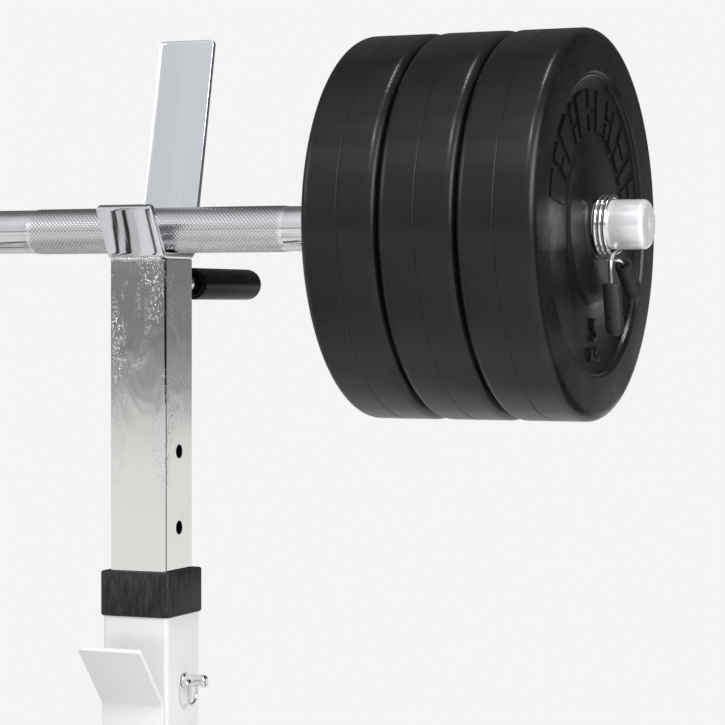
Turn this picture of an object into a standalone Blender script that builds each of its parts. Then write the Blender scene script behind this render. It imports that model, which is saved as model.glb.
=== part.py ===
"""A bench press station with telescopic uprights, an adjustable bench and a loaded barbell.

Units are metres and +Z is up. The origin is on the floor, under the middle of the whole object. The bar
lies along X, the head end of the bench points to +Y, and the two sides mirror each other.
"""

import math

import bmesh
import bpy
from mathutils import Matrix, Vector

# ---------------------------------------------------------------- driving dimensions

GAP = 0.0003                   # left between neighbouring pieces

BAR_LENGTH = 1.700
BAR_HEIGHT = 1.000             # axis of the bar above the floor
BAR_PAST_UPRIGHT = 0.3345      # from the middle of an upright to the end of the bar
GRIP_RADIUS = 0.01425          # knurled and plain bar between the stop collars
SLEEVE_RADIUS = 0.0150         # loading end of the bar

OUTER_TUBE = 0.0464            # square tube of the frame and of the uprights
TUBE_WALL = 0.0018
INNER_TUBE = 0.040             # square chromed tube that telescopes in an upright
HOLE_PITCH = 0.049             # height step of the telescopes
STEPS_EACH_WAY = 3
HOLE_RADIUS = 0.0045
STEEL = 0.004                  # thickness of the hooks and brackets
CATCH_WIDTH = 0.044            # safety catches on the uprights

PLATE_RADIUS = 0.1185
PLATE_PITCH = 0.0484           # thickness of one weight plate with the gap to the next
PLATES_PER_SIDE = 3
FIRST_PLATE = 0.1580           # inner face of the first plate, outwards from the upright

PAD_TOP = 0.450
PAD_THICKNESS = 0.050
BOARD_THICKNESS = 0.012
PAD_WIDTH = 0.280
BACK_LENGTH = 0.760
SEAT_LENGTH = 0.310
PAD_SPACING = 0.065            # room for the back pad's corner when the back is raised
HEAD_PAST_UPRIGHTS = 0.050     # the back pad reaches this far behind the bar

FOOT_HALF = 0.0275             # half the width of a rubber foot cap
FOOT_CAP_LENGTH = 0.045
REAR_REACH = 0.240             # the rear feet end this far behind the uprights
FRONT_REACH = 0.300            # and their front ends this far before them
FRONT_FOOT_LENGTH = 0.460
CROSS_TUBE_TOP = 0.2983        # the cross tube lies under the bench's beam

ARM_SIZE = 0.040               # square tube under the back pad
ARM_LENGTH = 0.600
HINGE_BEFORE_PAD = 0.020       # from the hinge to the near end of the back pad
INCLINE_STEP = math.radians(15)
INCLINE_HOLES = 4
SECTOR_RADIUS = 0.145
SECTOR_FACE = 0.030            # inner face of the incline sector, to the right of the middle
PIN_BEHIND_HINGE = 0.130
PIN_BELOW_HINGE = 0.044

# ---------------------------------------------------------------- sizes that follow from them

HALF_OUTER = OUTER_TUBE / 2
HALF_INNER = INNER_TUBE / 2
UPRIGHT_X = BAR_LENGTH / 2 - BAR_PAST_UPRIGHT
SEAT_REACH = BACK_LENGTH + PAD_SPACING + SEAT_LENGTH - HEAD_PAST_UPRIGHTS
UPRIGHT_Y = (SEAT_REACH - REAR_REACH) / 2
FRONT_FOOT_Y = UPRIGHT_Y - SEAT_REACH + 0.080
FOOT_TUBE_TOP = FOOT_HALF + HALF_OUTER

HOOK_FLOOR = BAR_HEIGHT - GRIP_RADIUS - GAP
INNER_TUBE_TOP = HOOK_FLOOR - STEEL - GAP
TOP_HOLE = BAR_HEIGHT - 0.1423
PIN_HEIGHT = TOP_HOLE - STEPS_EACH_WAY * HOLE_PITCH
INNER_TUBE_BOTTOM = PIN_HEIGHT - STEPS_EACH_WAY * HOLE_PITCH - 0.070
BUSH_TOP = BAR_HEIGHT - 0.2185
BUSH_HEIGHT = 0.0287
UPRIGHT_TOP = BUSH_TOP - 0.0035
HANDLE_HEIGHT = BAR_HEIGHT - 0.0340
RIM_FACE = FIRST_PLATE + PLATES_PER_SIDE * PLATE_PITCH - GAP

BEAM_BOTTOM = CROSS_TUBE_TOP + GAP
BEAM_MIDDLE = BEAM_BOTTOM + HALF_OUTER
BEAM_TOP = BEAM_BOTTOM + OUTER_TUBE
BEAM_REAR = UPRIGHT_Y + 0.045
BEAM_FRONT = FRONT_FOOT_Y - 0.035
BOARD_BOTTOM = PAD_TOP - PAD_THICKNESS - BOARD_THICKNESS
HINGE_HEIGHT = BOARD_BOTTOM - GAP - ARM_SIZE / 2
HINGE_Y = UPRIGHT_Y + HEAD_PAST_UPRIGHTS - BACK_LENGTH - HINGE_BEFORE_PAD
SEAT_MIDDLE_Y = UPRIGHT_Y - SEAT_REACH + SEAT_LENGTH / 2

ALONG_Y = (math.radians(-90), 0.0, 0.0)      # turns a piece built along +Z to +Y
ALONG_X = (0.0, math.radians(90), 0.0)       # turns a piece built along +Z to +X
BACKWARDS = (0.0, 0.0, math.radians(90))     # turns a piece built along +X to +Y


# ---------------------------------------------------------------- scene and object helpers

def clear_scene():
    for found in list(bpy.data.objects):
        bpy.data.objects.remove(found, do_unlink=True)


def make_material(name, colour, roughness, metallic):
    made = bpy.data.materials.new(name)
    made.use_nodes = True
    shader = made.node_tree.nodes["Principled BSDF"]
    shader.inputs["Base Color"].default_value = (*colour, 1.0)
    shader.inputs["Roughness"].default_value = roughness
    shader.inputs["Metallic"].default_value = metallic
    return made


def make_empty(name, location, parent=None, side=1):
    """An empty to hang pieces on. Side -1 mirrors whatever is parented to it."""
    empty = bpy.data.objects.new(name, None)
    bpy.context.scene.collection.objects.link(empty)
    empty.location = location
    empty.parent = parent
    empty.scale.x = side
    return empty


def to_mesh(name, work, material):
    bmesh.ops.recalc_face_normals(work, faces=work.faces)
    mesh = bpy.data.meshes.new(name)
    work.to_mesh(mesh)
    work.free()
    mesh.materials.append(material)
    mesh.shade_smooth()
    mesh.set_sharp_from_angle(angle=math.radians(35))
    return mesh


def put(name, data, location, parent=None, turn=(0.0, 0.0, 0.0)):
    piece = bpy.data.objects.new(name, data)
    bpy.context.scene.collection.objects.link(piece)
    piece.location = location
    piece.rotation_euler = turn
    piece.parent = parent
    return piece


# ---------------------------------------------------------------- shape helpers

def skin(rings, closed):
    """Joins rings of points into one surface. An open run of rings gets a face over each end."""
    work = bmesh.new()
    loops = [[work.verts.new(point) for point in ring] for ring in rings]
    count = len(loops[0])
    pairs = list(zip(loops, loops[1:]))
    if closed:
        pairs.append((loops[-1], loops[0]))
    for first, second in pairs:
        for i in range(count):
            j = (i + 1) % count
            work.faces.new((first[i], first[j], second[j], second[i]))
    if not closed:
        work.faces.new(loops[0])
        work.faces.new(loops[-1])
    return work


def turned(profile, segments=24, closed=False):
    """A turned solid about X from (x, radius) points. Closed means that a bore goes right through."""
    angles = [2 * math.pi * i / segments for i in range(segments)]
    rings = [[(x, r * math.cos(a), r * math.sin(a)) for a in angles] for x, r in profile]
    return skin(rings, closed)


def rounded_square(half, corner, height):
    """Twelve points round a square with rounded corners, at one height."""
    points = []
    for quarter, (side_x, side_y) in enumerate(((1, 1), (-1, 1), (-1, -1), (1, -1))):
        for step in range(3):
            angle = math.radians(90 * quarter + 45 * step)
            x = side_x * (half - corner) + corner * math.cos(angle)
            y = side_y * (half - corner) + corner * math.sin(angle)
            points.append((x, y, height))
    return points


def square_turned(profile, closed=True):
    """The square counterpart of turned, about Z, from (half width, corner radius, z) points."""
    return skin([rounded_square(*point) for point in profile], closed)


def square_tube(size, low, high, wall=TUBE_WALL, corner=0.0030):
    """A hollow square tube along Z between two heights."""
    half = size / 2
    inner_corner = corner - wall
    return square_turned([
        (half, corner, low),
        (half, corner, high),
        (half - wall, inner_corner, high),
        (half - wall, inner_corner, low),
    ])


def extruded(outline, low, high):
    """A prism along X between two places, from an outline of (y, z) points."""
    return skin([[(x, y, z) for y, z in outline] for x in (low, high)], closed=False)


def rounded_box(size, radius, segments=2):
    """A box about its middle with every edge rounded."""
    work = bmesh.new()
    bmesh.ops.create_cube(work, size=1.0)
    bmesh.ops.scale(work, vec=size, verts=work.verts)
    bmesh.ops.bevel(
        work, geom=work.edges[:], offset=radius, segments=segments, profile=0.5, affect="EDGES"
    )
    return work


def shifted(work, offset, turn=None):
    """Turns a bmesh by an optional matrix and then moves it."""
    if turn:
        bmesh.ops.transform(work, matrix=turn, verts=work.verts)
    bmesh.ops.translate(work, vec=offset, verts=work.verts)
    return work


def combine(work, others, operation):
    """The result of cutting the other shapes from the first, or of joining them to it."""
    helpers = []
    for shape in [work, *others]:
        bmesh.ops.recalc_face_normals(shape, faces=shape.faces)
        mesh = bpy.data.meshes.new("helper")
        shape.to_mesh(mesh)
        shape.free()
        helper = put("helper", mesh, (0.0, 0.0, 0.0))
        helper.hide_render = True
        helpers.append(helper)
    target = helpers[0]
    for tool in helpers[1:]:
        modifier = target.modifiers.new("combine", "BOOLEAN")
        modifier.operation = operation
        modifier.object = tool
    bpy.context.view_layer.update()
    result = bmesh.new()
    result.from_object(target, bpy.context.evaluated_depsgraph_get())
    for helper in helpers:
        bpy.data.objects.remove(helper, do_unlink=True)
    return result


def drill(radius, place, low, high, along="X", segments=12):
    """A cutter for a round hole that runs from low to high along X or Y through a place."""
    cutter = turned([(low, radius), (high, radius)], segments)
    turn = Matrix.Rotation(math.radians(90), 4, "Z") if along == "Y" else None
    return shifted(cutter, place, turn)


def filleted(corners, radius, steps=4):
    """Points along a path whose inner corners are rounded."""
    path = [Vector(corners[0])]
    for before, corner, after in zip(corners, corners[1:], corners[2:]):
        corner = Vector(corner)
        to_before = (Vector(before) - corner).normalized()
        to_after = (Vector(after) - corner).normalized()
        half_angle = to_before.angle(to_after) / 2
        start = corner + to_before * radius / math.tan(half_angle)
        end = corner + to_after * radius / math.tan(half_angle)
        centre = corner + (to_before + to_after).normalized() * radius / math.sin(half_angle)
        for step in range(steps + 1):
            outwards = start.lerp(end, step / steps) - centre
            path.append(centre + outwards.normalized() * radius)
    path.append(Vector(corners[-1]))
    return path


def bent_strip(corners, thickness, radius, width):
    """A flat bar bent along X-wise folds. The (y, z) corners are those of its middle layer."""
    path = filleted([(0.0, y, z) for y, z in corners], radius)
    one_side, other_side = [], []
    for i, point in enumerate(path):
        along = (path[min(i + 1, len(path) - 1)] - path[max(i - 1, 0)]).normalized()
        across = Vector((0.0, -along.z, along.y)) * thickness / 2
        one_side.append((point.y + across.y, point.z + across.z))
        other_side.append((point.y - across.y, point.z - across.z))
    return extruded(one_side + other_side[::-1], -width / 2, width / 2)


def wire_curve(name, points, radius, material, cyclic=False):
    """A round wire through the points, as a curve with filled ends."""
    curve = bpy.data.curves.new(name, "CURVE")
    curve.dimensions = "3D"
    curve.bevel_depth = radius
    curve.bevel_resolution = 1
    curve.use_fill_caps = True
    curve.materials.append(material)
    spline = curve.splines.new("POLY")
    spline.points.add(len(points) - 1)
    for target, point in zip(spline.points, points):
        target.co = (*point, 1.0)
    spline.use_cyclic_u = cyclic
    return curve


# ---------------------------------------------------------------- frame

def foot_tube_mesh(paint):
    """A floor tube along Y under an upright, with two gussets that brace the upright."""
    tube = square_tube(OUTER_TUBE, -FRONT_REACH + 0.006, REAR_REACH - 0.006)
    tube = shifted(tube, (0.0, 0.0, 0.0), Matrix.Rotation(math.radians(-90), 4, "X"))
    near = HALF_OUTER + GAP
    sunk = HALF_OUTER - 0.001
    gussets = []
    for way in (-1, 1):
        outline = [(way * near, sunk), (way * (near + 0.060), sunk), (way * near, sunk + 0.080)]
        gussets.append(extruded(outline, -STEEL / 2, STEEL / 2))
    return to_mesh("foot_tube", combine(tube, gussets, "UNION"), paint)


def foot_cap_mesh(rubber):
    """A rubber shoe that covers the end of a floor tube and stands on the floor. Its mouth faces -Z."""
    pocket = HALF_OUTER + GAP
    floor = FOOT_CAP_LENGTH - 0.0055
    return to_mesh("foot_cap", square_turned([
        (FOOT_HALF - 0.002, 0.003, FOOT_CAP_LENGTH),
        (FOOT_HALF, 0.004, FOOT_CAP_LENGTH - 0.002),
        (FOOT_HALF, 0.004, 0.0),
        (pocket, 0.003, 0.0),
        (pocket, 0.003, floor),
    ], closed=False), rubber)


def upright_mesh(paint):
    """The fixed outer tube of an upright, with the lock pin's hole in its outer wall."""
    tube = square_tube(OUTER_TUBE, FOOT_TUBE_TOP + GAP, UPRIGHT_TOP)
    hole = drill(HOLE_RADIUS - 0.0002, (0.0, 0.0, PIN_HEIGHT), HALF_OUTER - 0.006, HALF_OUTER + 0.006)
    return to_mesh("upright", combine(tube, [hole], "DIFFERENCE"), paint)


def upright_bush_mesh(plastic):
    """The plastic guide over an upright's mouth: a cap round the tube and a skirt inside it."""
    outside = 0.02485
    over = HALF_OUTER + GAP
    skirt = HALF_OUTER - TUBE_WALL - GAP
    bore = HALF_INNER + GAP
    lip = -(BUSH_TOP - UPRIGHT_TOP) + GAP
    skirt_end = -BUSH_HEIGHT - 0.012
    return to_mesh("upright_bush", square_turned([
        (outside, 0.003, 0.0),
        (outside, 0.003, -BUSH_HEIGHT),
        (over, 0.003, -BUSH_HEIGHT),
        (over, 0.003, lip),
        (skirt, 0.001, lip),
        (skirt, 0.001, skirt_end),
        (bore, 0.001, skirt_end),
        (bore, 0.001, 0.0),
    ]), plastic)


def safety_catch_mesh(paint):
    """A bent plate on the front of an upright. Its leaning lip catches the bar."""
    flange = -HALF_OUTER - GAP - 0.0015
    corners = [(flange, -0.3850), (flange, -0.3021), (flange - 0.0320, -0.2641)]
    return to_mesh("safety_catch", bent_strip(corners, 0.003, 0.006, CATCH_WIDTH), paint)


def build_frame_sides(sides, looks):
    foot = foot_tube_mesh(looks["paint"])
    cap = foot_cap_mesh(looks["rubber"])
    upright = upright_mesh(looks["paint"])
    bush = upright_bush_mesh(looks["plastic"])
    catch = safety_catch_mesh(looks["paint"])
    mouth = FOOT_CAP_LENGTH
    for side, frame in sides.items():
        put(f"{side}_foot_tube", foot, (UPRIGHT_X, 0.0, FOOT_HALF), frame)
        put(f"{side}_rear_foot_cap", cap, (UPRIGHT_X, REAR_REACH - mouth, FOOT_HALF), frame, ALONG_Y)
        put(f"{side}_front_foot_cap", cap, (UPRIGHT_X, mouth - FRONT_REACH, FOOT_HALF), frame,
            (math.radians(90), 0.0, 0.0))
        put(f"{side}_upright", upright, (UPRIGHT_X, 0.0, 0.0), frame)
        put(f"{side}_upright_bush", bush, (UPRIGHT_X, 0.0, BUSH_TOP), frame)
        put(f"{side}_safety_catch", catch, (UPRIGHT_X, 0.0, BAR_HEIGHT), frame)


def build_bench_support(looks):
    """The cross tube between the uprights, the bench's beam on it, and the front leg."""
    half_span = UPRIGHT_X - HALF_OUTER - GAP
    cross_tube = square_tube(OUTER_TUBE, -half_span + 0.001, half_span - 0.001)
    flanges = []
    for way in (-1, 1):
        flange = rounded_box((0.095, OUTER_TUBE, STEEL), 0.001, 1)
        flanges.append(shifted(flange, (0.0, 0.0, way * (half_span - STEEL / 2))))
    upright_to_x = Matrix.Rotation(math.radians(90), 4, "Y")
    cross_tube = shifted(combine(cross_tube, flanges, "UNION"), (0.0, 0.0, 0.0), upright_to_x)
    wire_way = drill(0.010, (0.0, 0.0, 0.0), -half_span - 0.01, half_span + 0.01)
    cross_tube = combine(cross_tube, [wire_way], "DIFFERENCE")
    put("cross_tube", to_mesh("cross_tube", cross_tube, looks["paint"]),
        (0.0, UPRIGHT_Y, CROSS_TUBE_TOP - HALF_OUTER))

    beam = square_tube(OUTER_TUBE, BEAM_FRONT, BEAM_REAR)
    put("beam", to_mesh("beam", beam, looks["paint"]), (0.0, 0.0, BEAM_MIDDLE), None, ALONG_Y)
    plug = to_mesh("beam_cap", square_turned([
        (HALF_OUTER - 0.001, 0.003, 0.004),
        (HALF_OUTER, 0.003, 0.003),
        (HALF_OUTER, 0.003, GAP),
        (HALF_OUTER - TUBE_WALL - GAP, 0.001, GAP),
        (HALF_OUTER - TUBE_WALL - GAP, 0.001, -0.014),
    ], closed=False), looks["plastic"])
    put("beam_rear_cap", plug, (0.0, BEAM_REAR, BEAM_MIDDLE), None, ALONG_Y)
    put("beam_front_cap", plug, (0.0, BEAM_FRONT, BEAM_MIDDLE), None, (math.radians(90), 0.0, 0.0))

    post = square_tube(OUTER_TUBE, FOOT_TUBE_TOP + GAP, BEAM_BOTTOM - GAP)
    put("front_post", to_mesh("front_post", post, looks["paint"]), (0.0, FRONT_FOOT_Y, 0.0))
    half_foot = FRONT_FOOT_LENGTH / 2
    foot = square_tube(OUTER_TUBE, 0.006 - half_foot, half_foot - 0.006)
    put("front_foot_tube", to_mesh("front_foot_tube", foot, looks["paint"]),
        (0.0, FRONT_FOOT_Y, FOOT_HALF), None, ALONG_X)
    cap = foot_cap_mesh(looks["rubber"])
    for side, way in (("right", 1), ("left", -1)):
        put(f"front_foot_{side}_cap", cap, (way * (half_foot - FOOT_CAP_LENGTH), FRONT_FOOT_Y, FOOT_HALF),
            None, (0.0, math.radians(90 * way), 0.0))


# ---------------------------------------------------------------- bench

def build_seat(looks):
    """The fixed seat: a folded saddle over the beam, a board and a pad."""
    inside = HALF_OUTER + GAP
    outside = inside + STEEL
    wing = 0.100
    top = BOARD_BOTTOM - GAP
    under = top - STEEL
    leg_end = BEAM_BOTTOM + 0.012
    half_outline = [
        (wing, top), (wing, under), (outside, under), (outside, leg_end), (inside, leg_end), (inside, under),
    ]
    outline = half_outline + [(-y, z) for y, z in half_outline[::-1]]
    saddle = to_mesh("seat_saddle", extruded(outline, -0.080, 0.080), looks["paint"])
    put("seat_saddle", saddle, (0.0, SEAT_MIDDLE_Y + 0.030, 0.0), None, BACKWARDS)
    board = rounded_box((PAD_WIDTH - 0.030, SEAT_LENGTH - 0.030, BOARD_THICKNESS - GAP), 0.002, 1)
    put("seat_board", to_mesh("seat_board", board, looks["wood"]),
        (0.0, SEAT_MIDDLE_Y, BOARD_BOTTOM + BOARD_THICKNESS / 2))
    pad = rounded_box((PAD_WIDTH, SEAT_LENGTH, PAD_THICKNESS - GAP), 0.015)
    put("seat_pad", to_mesh("seat_pad", pad, looks["leather"]),
        (0.0, SEAT_MIDDLE_Y, PAD_TOP - PAD_THICKNESS / 2))


def build_hinge(looks):
    """The bracket under and beside the beam that carries the back's hinge bolt."""
    inside = HALF_OUTER + GAP
    outside = inside + STEEL
    web = BEAM_BOTTOM - GAP - HINGE_HEIGHT
    ear = BOARD_BOTTOM - 0.002 - HINGE_HEIGHT
    outline = [
        (-outside, web - STEEL), (outside, web - STEEL), (outside, ear), (inside, ear),
        (inside, web), (-inside, web), (-inside, ear), (-outside, ear),
    ]
    bracket = shifted(extruded(outline, -0.022, 0.022), (0.0, 0.0, 0.0), Matrix.Rotation(math.pi / 2, 4, "Z"))
    bracket = combine(bracket, [drill(0.0053, (0.0, 0.0, 0.0), -0.04, 0.04)], "DIFFERENCE")
    place = (0.0, HINGE_Y, HINGE_HEIGHT)
    put("hinge_bracket", to_mesh("hinge_bracket", bracket, looks["paint"]), place)
    clear = outside + GAP
    bolt = turned([
        (-clear - 0.0065, 0.0070), (-clear - 0.0055, 0.0082), (-clear, 0.0082), (-clear, 0.0049),
        (clear, 0.0049), (clear, 0.0082), (clear + 0.0080, 0.0082), (clear + 0.0090, 0.0062),
    ], 12)
    put("hinge_bolt", to_mesh("hinge_bolt", bolt, looks["zinc"]), place)


def sector_point(radius, degrees):
    return radius * math.cos(math.radians(degrees)), radius * math.sin(math.radians(degrees))


def sector_mesh(paint):
    """The quadrant that is welded to the back's arm, with a hole for each incline."""
    inner_radius = 0.052
    last_angle = -78
    outline = [(inner_radius, 0.012)]
    outline += [sector_point(inner_radius, a) for a in range(-8, last_angle - 1, -14)]
    outline += [sector_point(SECTOR_RADIUS, a) for a in range(last_angle, 0, 9)]
    outline += [(SECTOR_RADIUS, 0.012)]
    sector = extruded(outline, SECTOR_FACE, SECTOR_FACE + STEEL)
    start = ARM_SIZE / 2 + GAP
    spacer = extruded([(0.060, -0.010), (0.125, -0.010), (0.125, 0.011), (0.060, 0.011)],
                      start, SECTOR_FACE + 0.001)
    sector = combine(sector, [spacer], "UNION")
    pin_radius = math.hypot(PIN_BEHIND_HINGE, PIN_BELOW_HINGE)
    first_angle = math.atan2(-PIN_BELOW_HINGE, PIN_BEHIND_HINGE)
    holes = []
    for step in range(INCLINE_HOLES):
        angle = first_angle - step * INCLINE_STEP
        place = (0.0, pin_radius * math.cos(angle), pin_radius * math.sin(angle))
        holes.append(drill(HOLE_RADIUS, place, SECTOR_FACE - 0.004, SECTOR_FACE + STEEL + 0.004))
    return to_mesh("incline_sector", combine(sector, holes, "DIFFERENCE"), paint)


def build_back(looks):
    """Everything that swings up about the hinge bolt."""
    hinge = make_empty("back_hinge", (0.0, HINGE_Y, HINGE_HEIGHT))
    arm = square_tube(ARM_SIZE, -0.009, ARM_LENGTH)
    arm = shifted(arm, (0.0, 0.0, 0.0), Matrix.Rotation(math.radians(-90), 4, "X"))
    arm = combine(arm, [drill(0.0053, (0.0, 0.0, 0.0), -0.03, 0.03)], "DIFFERENCE")
    put("back_arm", to_mesh("back_arm", arm, looks["paint"]), (0.0, 0.0, 0.0), hinge)
    put("incline_sector", sector_mesh(looks["paint"]), (0.0, 0.0, 0.0), hinge)
    middle = HINGE_BEFORE_PAD + BACK_LENGTH / 2
    board_middle = BOARD_BOTTOM + BOARD_THICKNESS / 2 - HINGE_HEIGHT
    board = rounded_box((PAD_WIDTH - 0.030, BACK_LENGTH - 0.030, BOARD_THICKNESS - GAP), 0.002, 1)
    put("back_board", to_mesh("back_board", board, looks["wood"]), (0.0, middle, board_middle), hinge)
    pad = rounded_box((PAD_WIDTH, BACK_LENGTH, PAD_THICKNESS - GAP), 0.015)
    put("back_pad", to_mesh("back_pad", pad, looks["leather"]),
        (0.0, middle, PAD_TOP - PAD_THICKNESS / 2 - HINGE_HEIGHT), hinge)
    rest_top = HINGE_HEIGHT - ARM_SIZE / 2 - GAP
    rest_bottom = BEAM_TOP + GAP
    rest = rounded_box((0.036, 0.030, rest_top - rest_bottom), 0.0005, 1)
    put("arm_rest_pad", to_mesh("arm_rest_pad", rest, looks["rubber"]),
        (0.0, HINGE_Y + ARM_LENGTH - 0.060, (rest_top + rest_bottom) / 2))


def build_incline_pin(looks):
    """The spring pin that locks the sector: a bracket with a barrel on the beam, a plunger, a knob."""
    place = (0.0, HINGE_Y + PIN_BEHIND_HINGE, HINGE_HEIGHT - PIN_BELOW_HINGE)
    beam_side = HALF_OUTER + GAP
    plate_inside = SECTOR_FACE + STEEL + 0.0023
    plate_outside = plate_inside + STEEL
    outline = [
        (beam_side, 0.018), (plate_inside, 0.018), (plate_inside, -0.014),
        (plate_outside, -0.014), (plate_outside, 0.032), (beam_side, 0.032),
    ]
    bracket = skin([[(x, y, z) for x, y in outline] for z in (-0.014, 0.014)], closed=False)
    barrel_end = plate_outside + 0.014
    barrel = turned([
        (plate_outside - 0.001, 0.0090), (barrel_end - 0.001, 0.0090), (barrel_end, 0.0080),
    ], 16)
    bore = drill(0.0042, (0.0, 0.0, 0.0), plate_inside - 0.003, barrel_end + 0.003)
    bracket = combine(combine(bracket, [barrel], "UNION"), [bore], "DIFFERENCE")
    put("incline_pin_bracket", to_mesh("incline_pin_bracket", bracket, looks["paint"]), place)
    tip = SECTOR_FACE + STEEL + GAP
    knob_start = barrel_end + GAP
    plunger = turned([
        (tip, 0.0032), (tip + 0.0008, 0.0038), (knob_start + 0.014, 0.0038),
    ], 16)
    put("incline_pin", to_mesh("incline_pin", plunger, looks["chrome"]), place)
    knob = turned([
        (knob_start + 0.014 + GAP, 0.0041), (knob_start, 0.0041), (knob_start, 0.0100),
        (knob_start + 0.006, 0.0135), (knob_start + 0.018, 0.0135), (knob_start + 0.022, 0.0090),
    ], 16)
    put("incline_knob", to_mesh("incline_knob", knob, looks["plastic"]), place)


# ---------------------------------------------------------------- telescopes and lock pins

def inner_tube_mesh(chrome):
    """The chromed tube with a row of adjustment holes in its outer side."""
    tube = square_tube(INNER_TUBE, INNER_TUBE_BOTTOM, INNER_TUBE_TOP, wall=0.002, corner=0.0028)
    holes = []
    for step in range(2 * STEPS_EACH_WAY + 1):
        place = (0.0, 0.0, TOP_HOLE - step * HOLE_PITCH)
        holes.append(drill(HOLE_RADIUS, place, HALF_INNER - 0.005, HALF_INNER + 0.005))
    return to_mesh("inner_tube", combine(tube, holes, "DIFFERENCE"), chrome)


def hook_mesh(chrome):
    """The cradle for the bar: a short front lip, a flat floor and a tall guard behind."""
    floor = HOOK_FLOOR - BAR_HEIGHT - STEEL / 2
    corners = [(-0.0373, 0.0147), (-0.0197, floor), (0.0205, floor), (0.0517, 0.1269)]
    return to_mesh("hook", bent_strip(corners, STEEL, 0.005, INNER_TUBE), chrome)


def build_telescopes(sides, looks):
    tube = inner_tube_mesh(looks["chrome"])
    hook = hook_mesh(looks["chrome"])
    rod_start = HALF_INNER + GAP
    rod = to_mesh("handle_rod", turned([
        (rod_start, 0.0062), (0.1330, 0.0062), (0.1340, 0.0052),
    ], 16), looks["chrome"])
    grip = to_mesh("handle_grip", turned([
        (0.1350, 0.0065), (0.0550, 0.0065), (0.0530, 0.0090), (0.0540, 0.0106), (0.1390, 0.0106),
        (0.1450, 0.0092), (0.1490, 0.0055), (0.1500, 0.0020),
    ], 16), looks["rubber"])
    for side, frame in sides.items():
        slide = make_empty(f"{side}_telescope", (UPRIGHT_X, 0.0, 0.0), frame)
        put(f"{side}_inner_tube", tube, (0.0, 0.0, 0.0), slide)
        put(f"{side}_hook", hook, (0.0, 0.0, BAR_HEIGHT), slide)
        put(f"{side}_handle_rod", rod, (0.0, 0.0, HANDLE_HEIGHT), slide, BACKWARDS)
        put(f"{side}_handle_grip", grip, (0.0, 0.0, HANDLE_HEIGHT), slide, BACKWARDS)


def lock_pin_mesh(chrome):
    """A pin with a shoulder, measured from the upright's outer face, with a cross hole for its ring."""
    tip = HALF_INNER - HALF_OUTER + GAP
    pin = turned([
        (tip, 0.0033), (tip + 0.0005, 0.0039), (0.0004, 0.0039), (0.0004, 0.0049), (0.0018, 0.0049),
        (0.0018, 0.0039), (0.0150, 0.0039), (0.0162, 0.0032), (0.0166, 0.0018),
    ], 16)
    hole = drill(0.0016, (0.0056, 0.0, 0.0), -0.006, 0.006, along="Y", segments=8)
    return to_mesh("lock_pin", combine(pin, [hole], "DIFFERENCE"), chrome)


def pin_ring_points():
    """The middle of the ring's wire: straight through the pin's hole and round below it."""
    half = 0.0070
    drop = 0.0080
    corner = 0.0022
    right = [(0.0, half - corner * (1 - math.sin(a)), -corner * (1 - math.cos(a)))
             for a in (0.0, math.pi / 4, math.pi / 2)]
    bottom = [(0.0, half * math.cos(a), -drop - half * math.sin(a))
              for a in [math.pi * step / 6 for step in range(7)]]
    left = [(x, -y, z) for x, y, z in right[::-1]]
    return right + bottom + left


def build_lock_pins(sides, looks):
    pin = lock_pin_mesh(looks["chrome"])
    ring = wire_curve("pin_ring", pin_ring_points(), 0.0009, looks["chrome"], cyclic=True)
    for side, frame in sides.items():
        face = make_empty(f"{side}_pin_axis", (UPRIGHT_X + HALF_OUTER, 0.0, PIN_HEIGHT), frame)
        put(f"{side}_lock_pin", pin, (0.0, 0.0, 0.0), face)
        put(f"{side}_pin_ring", ring, (0.0056, 0.0, 0.0), face)


# ---------------------------------------------------------------- barbell

def build_shaft(barbell, looks):
    """The bar with its two stop collars."""
    outer_stop = UPRIGHT_X + FIRST_PLATE - GAP
    inner_stop = outer_stop - 0.0150
    half = BAR_LENGTH / 2
    one_end = [
        (half, 0.0122), (half - 0.0009, 0.0142), (half - 0.0028, SLEEVE_RADIUS),
        (outer_stop, SLEEVE_RADIUS), (outer_stop, 0.0210), (outer_stop - 0.0015, 0.0225),
        (inner_stop + 0.0015, 0.0225), (inner_stop, 0.0210), (inner_stop, GRIP_RADIUS),
    ]
    profile = [(-x, r) for x, r in one_end] + one_end[::-1]
    put("bar_shaft", to_mesh("bar_shaft", turned(profile, 28), looks["chrome"]), (0.0, 0.0, 0.0), barbell)


def weight_plate_mesh(plastic):
    """A weight plate about its own middle, with a sunk ring on both faces and a raised bore ring."""
    half = (PLATE_PITCH - GAP) / 2
    edge = 0.0062
    one_face = [
        (half, 0.0156), (half, 0.0205), (half - 0.0020, 0.0225), (half - 0.0020, 0.0480),
        (half - 0.0040, 0.0500), (half - 0.0040, 0.0890), (half, 0.0915),
        (half, PLATE_RADIUS - edge), (half - 0.3 * edge, PLATE_RADIUS - 0.3 * edge),
        (half - edge, PLATE_RADIUS),
    ]
    other_face = [(-x, r) for x, r in one_face[::-1]]
    return to_mesh("weight_plate", turned(one_face + other_face, 28, closed=True), plastic)


def spring_coil_points():
    """The wire of a spring collar: three turns round the bar, then the fixed arm in front."""
    coil_radius = 0.0168
    pitch = 0.0030
    turns = 3
    steps = 16 * turns
    points = []
    for step in range(steps + 1):
        angle = math.radians(-90) - 2 * math.pi * turns * step / steps
        x = 0.0017 + pitch * turns * step / steps
        points.append((x, coil_radius * math.cos(angle), coil_radius * math.sin(angle)))
    points += [
        (0.0108, -0.0045, -0.0180), (0.0108, -0.0085, -0.0215), (0.0106, -0.0101, -0.0270),
        (0.0126, -0.0087, -0.0600),
    ]
    return points


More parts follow.
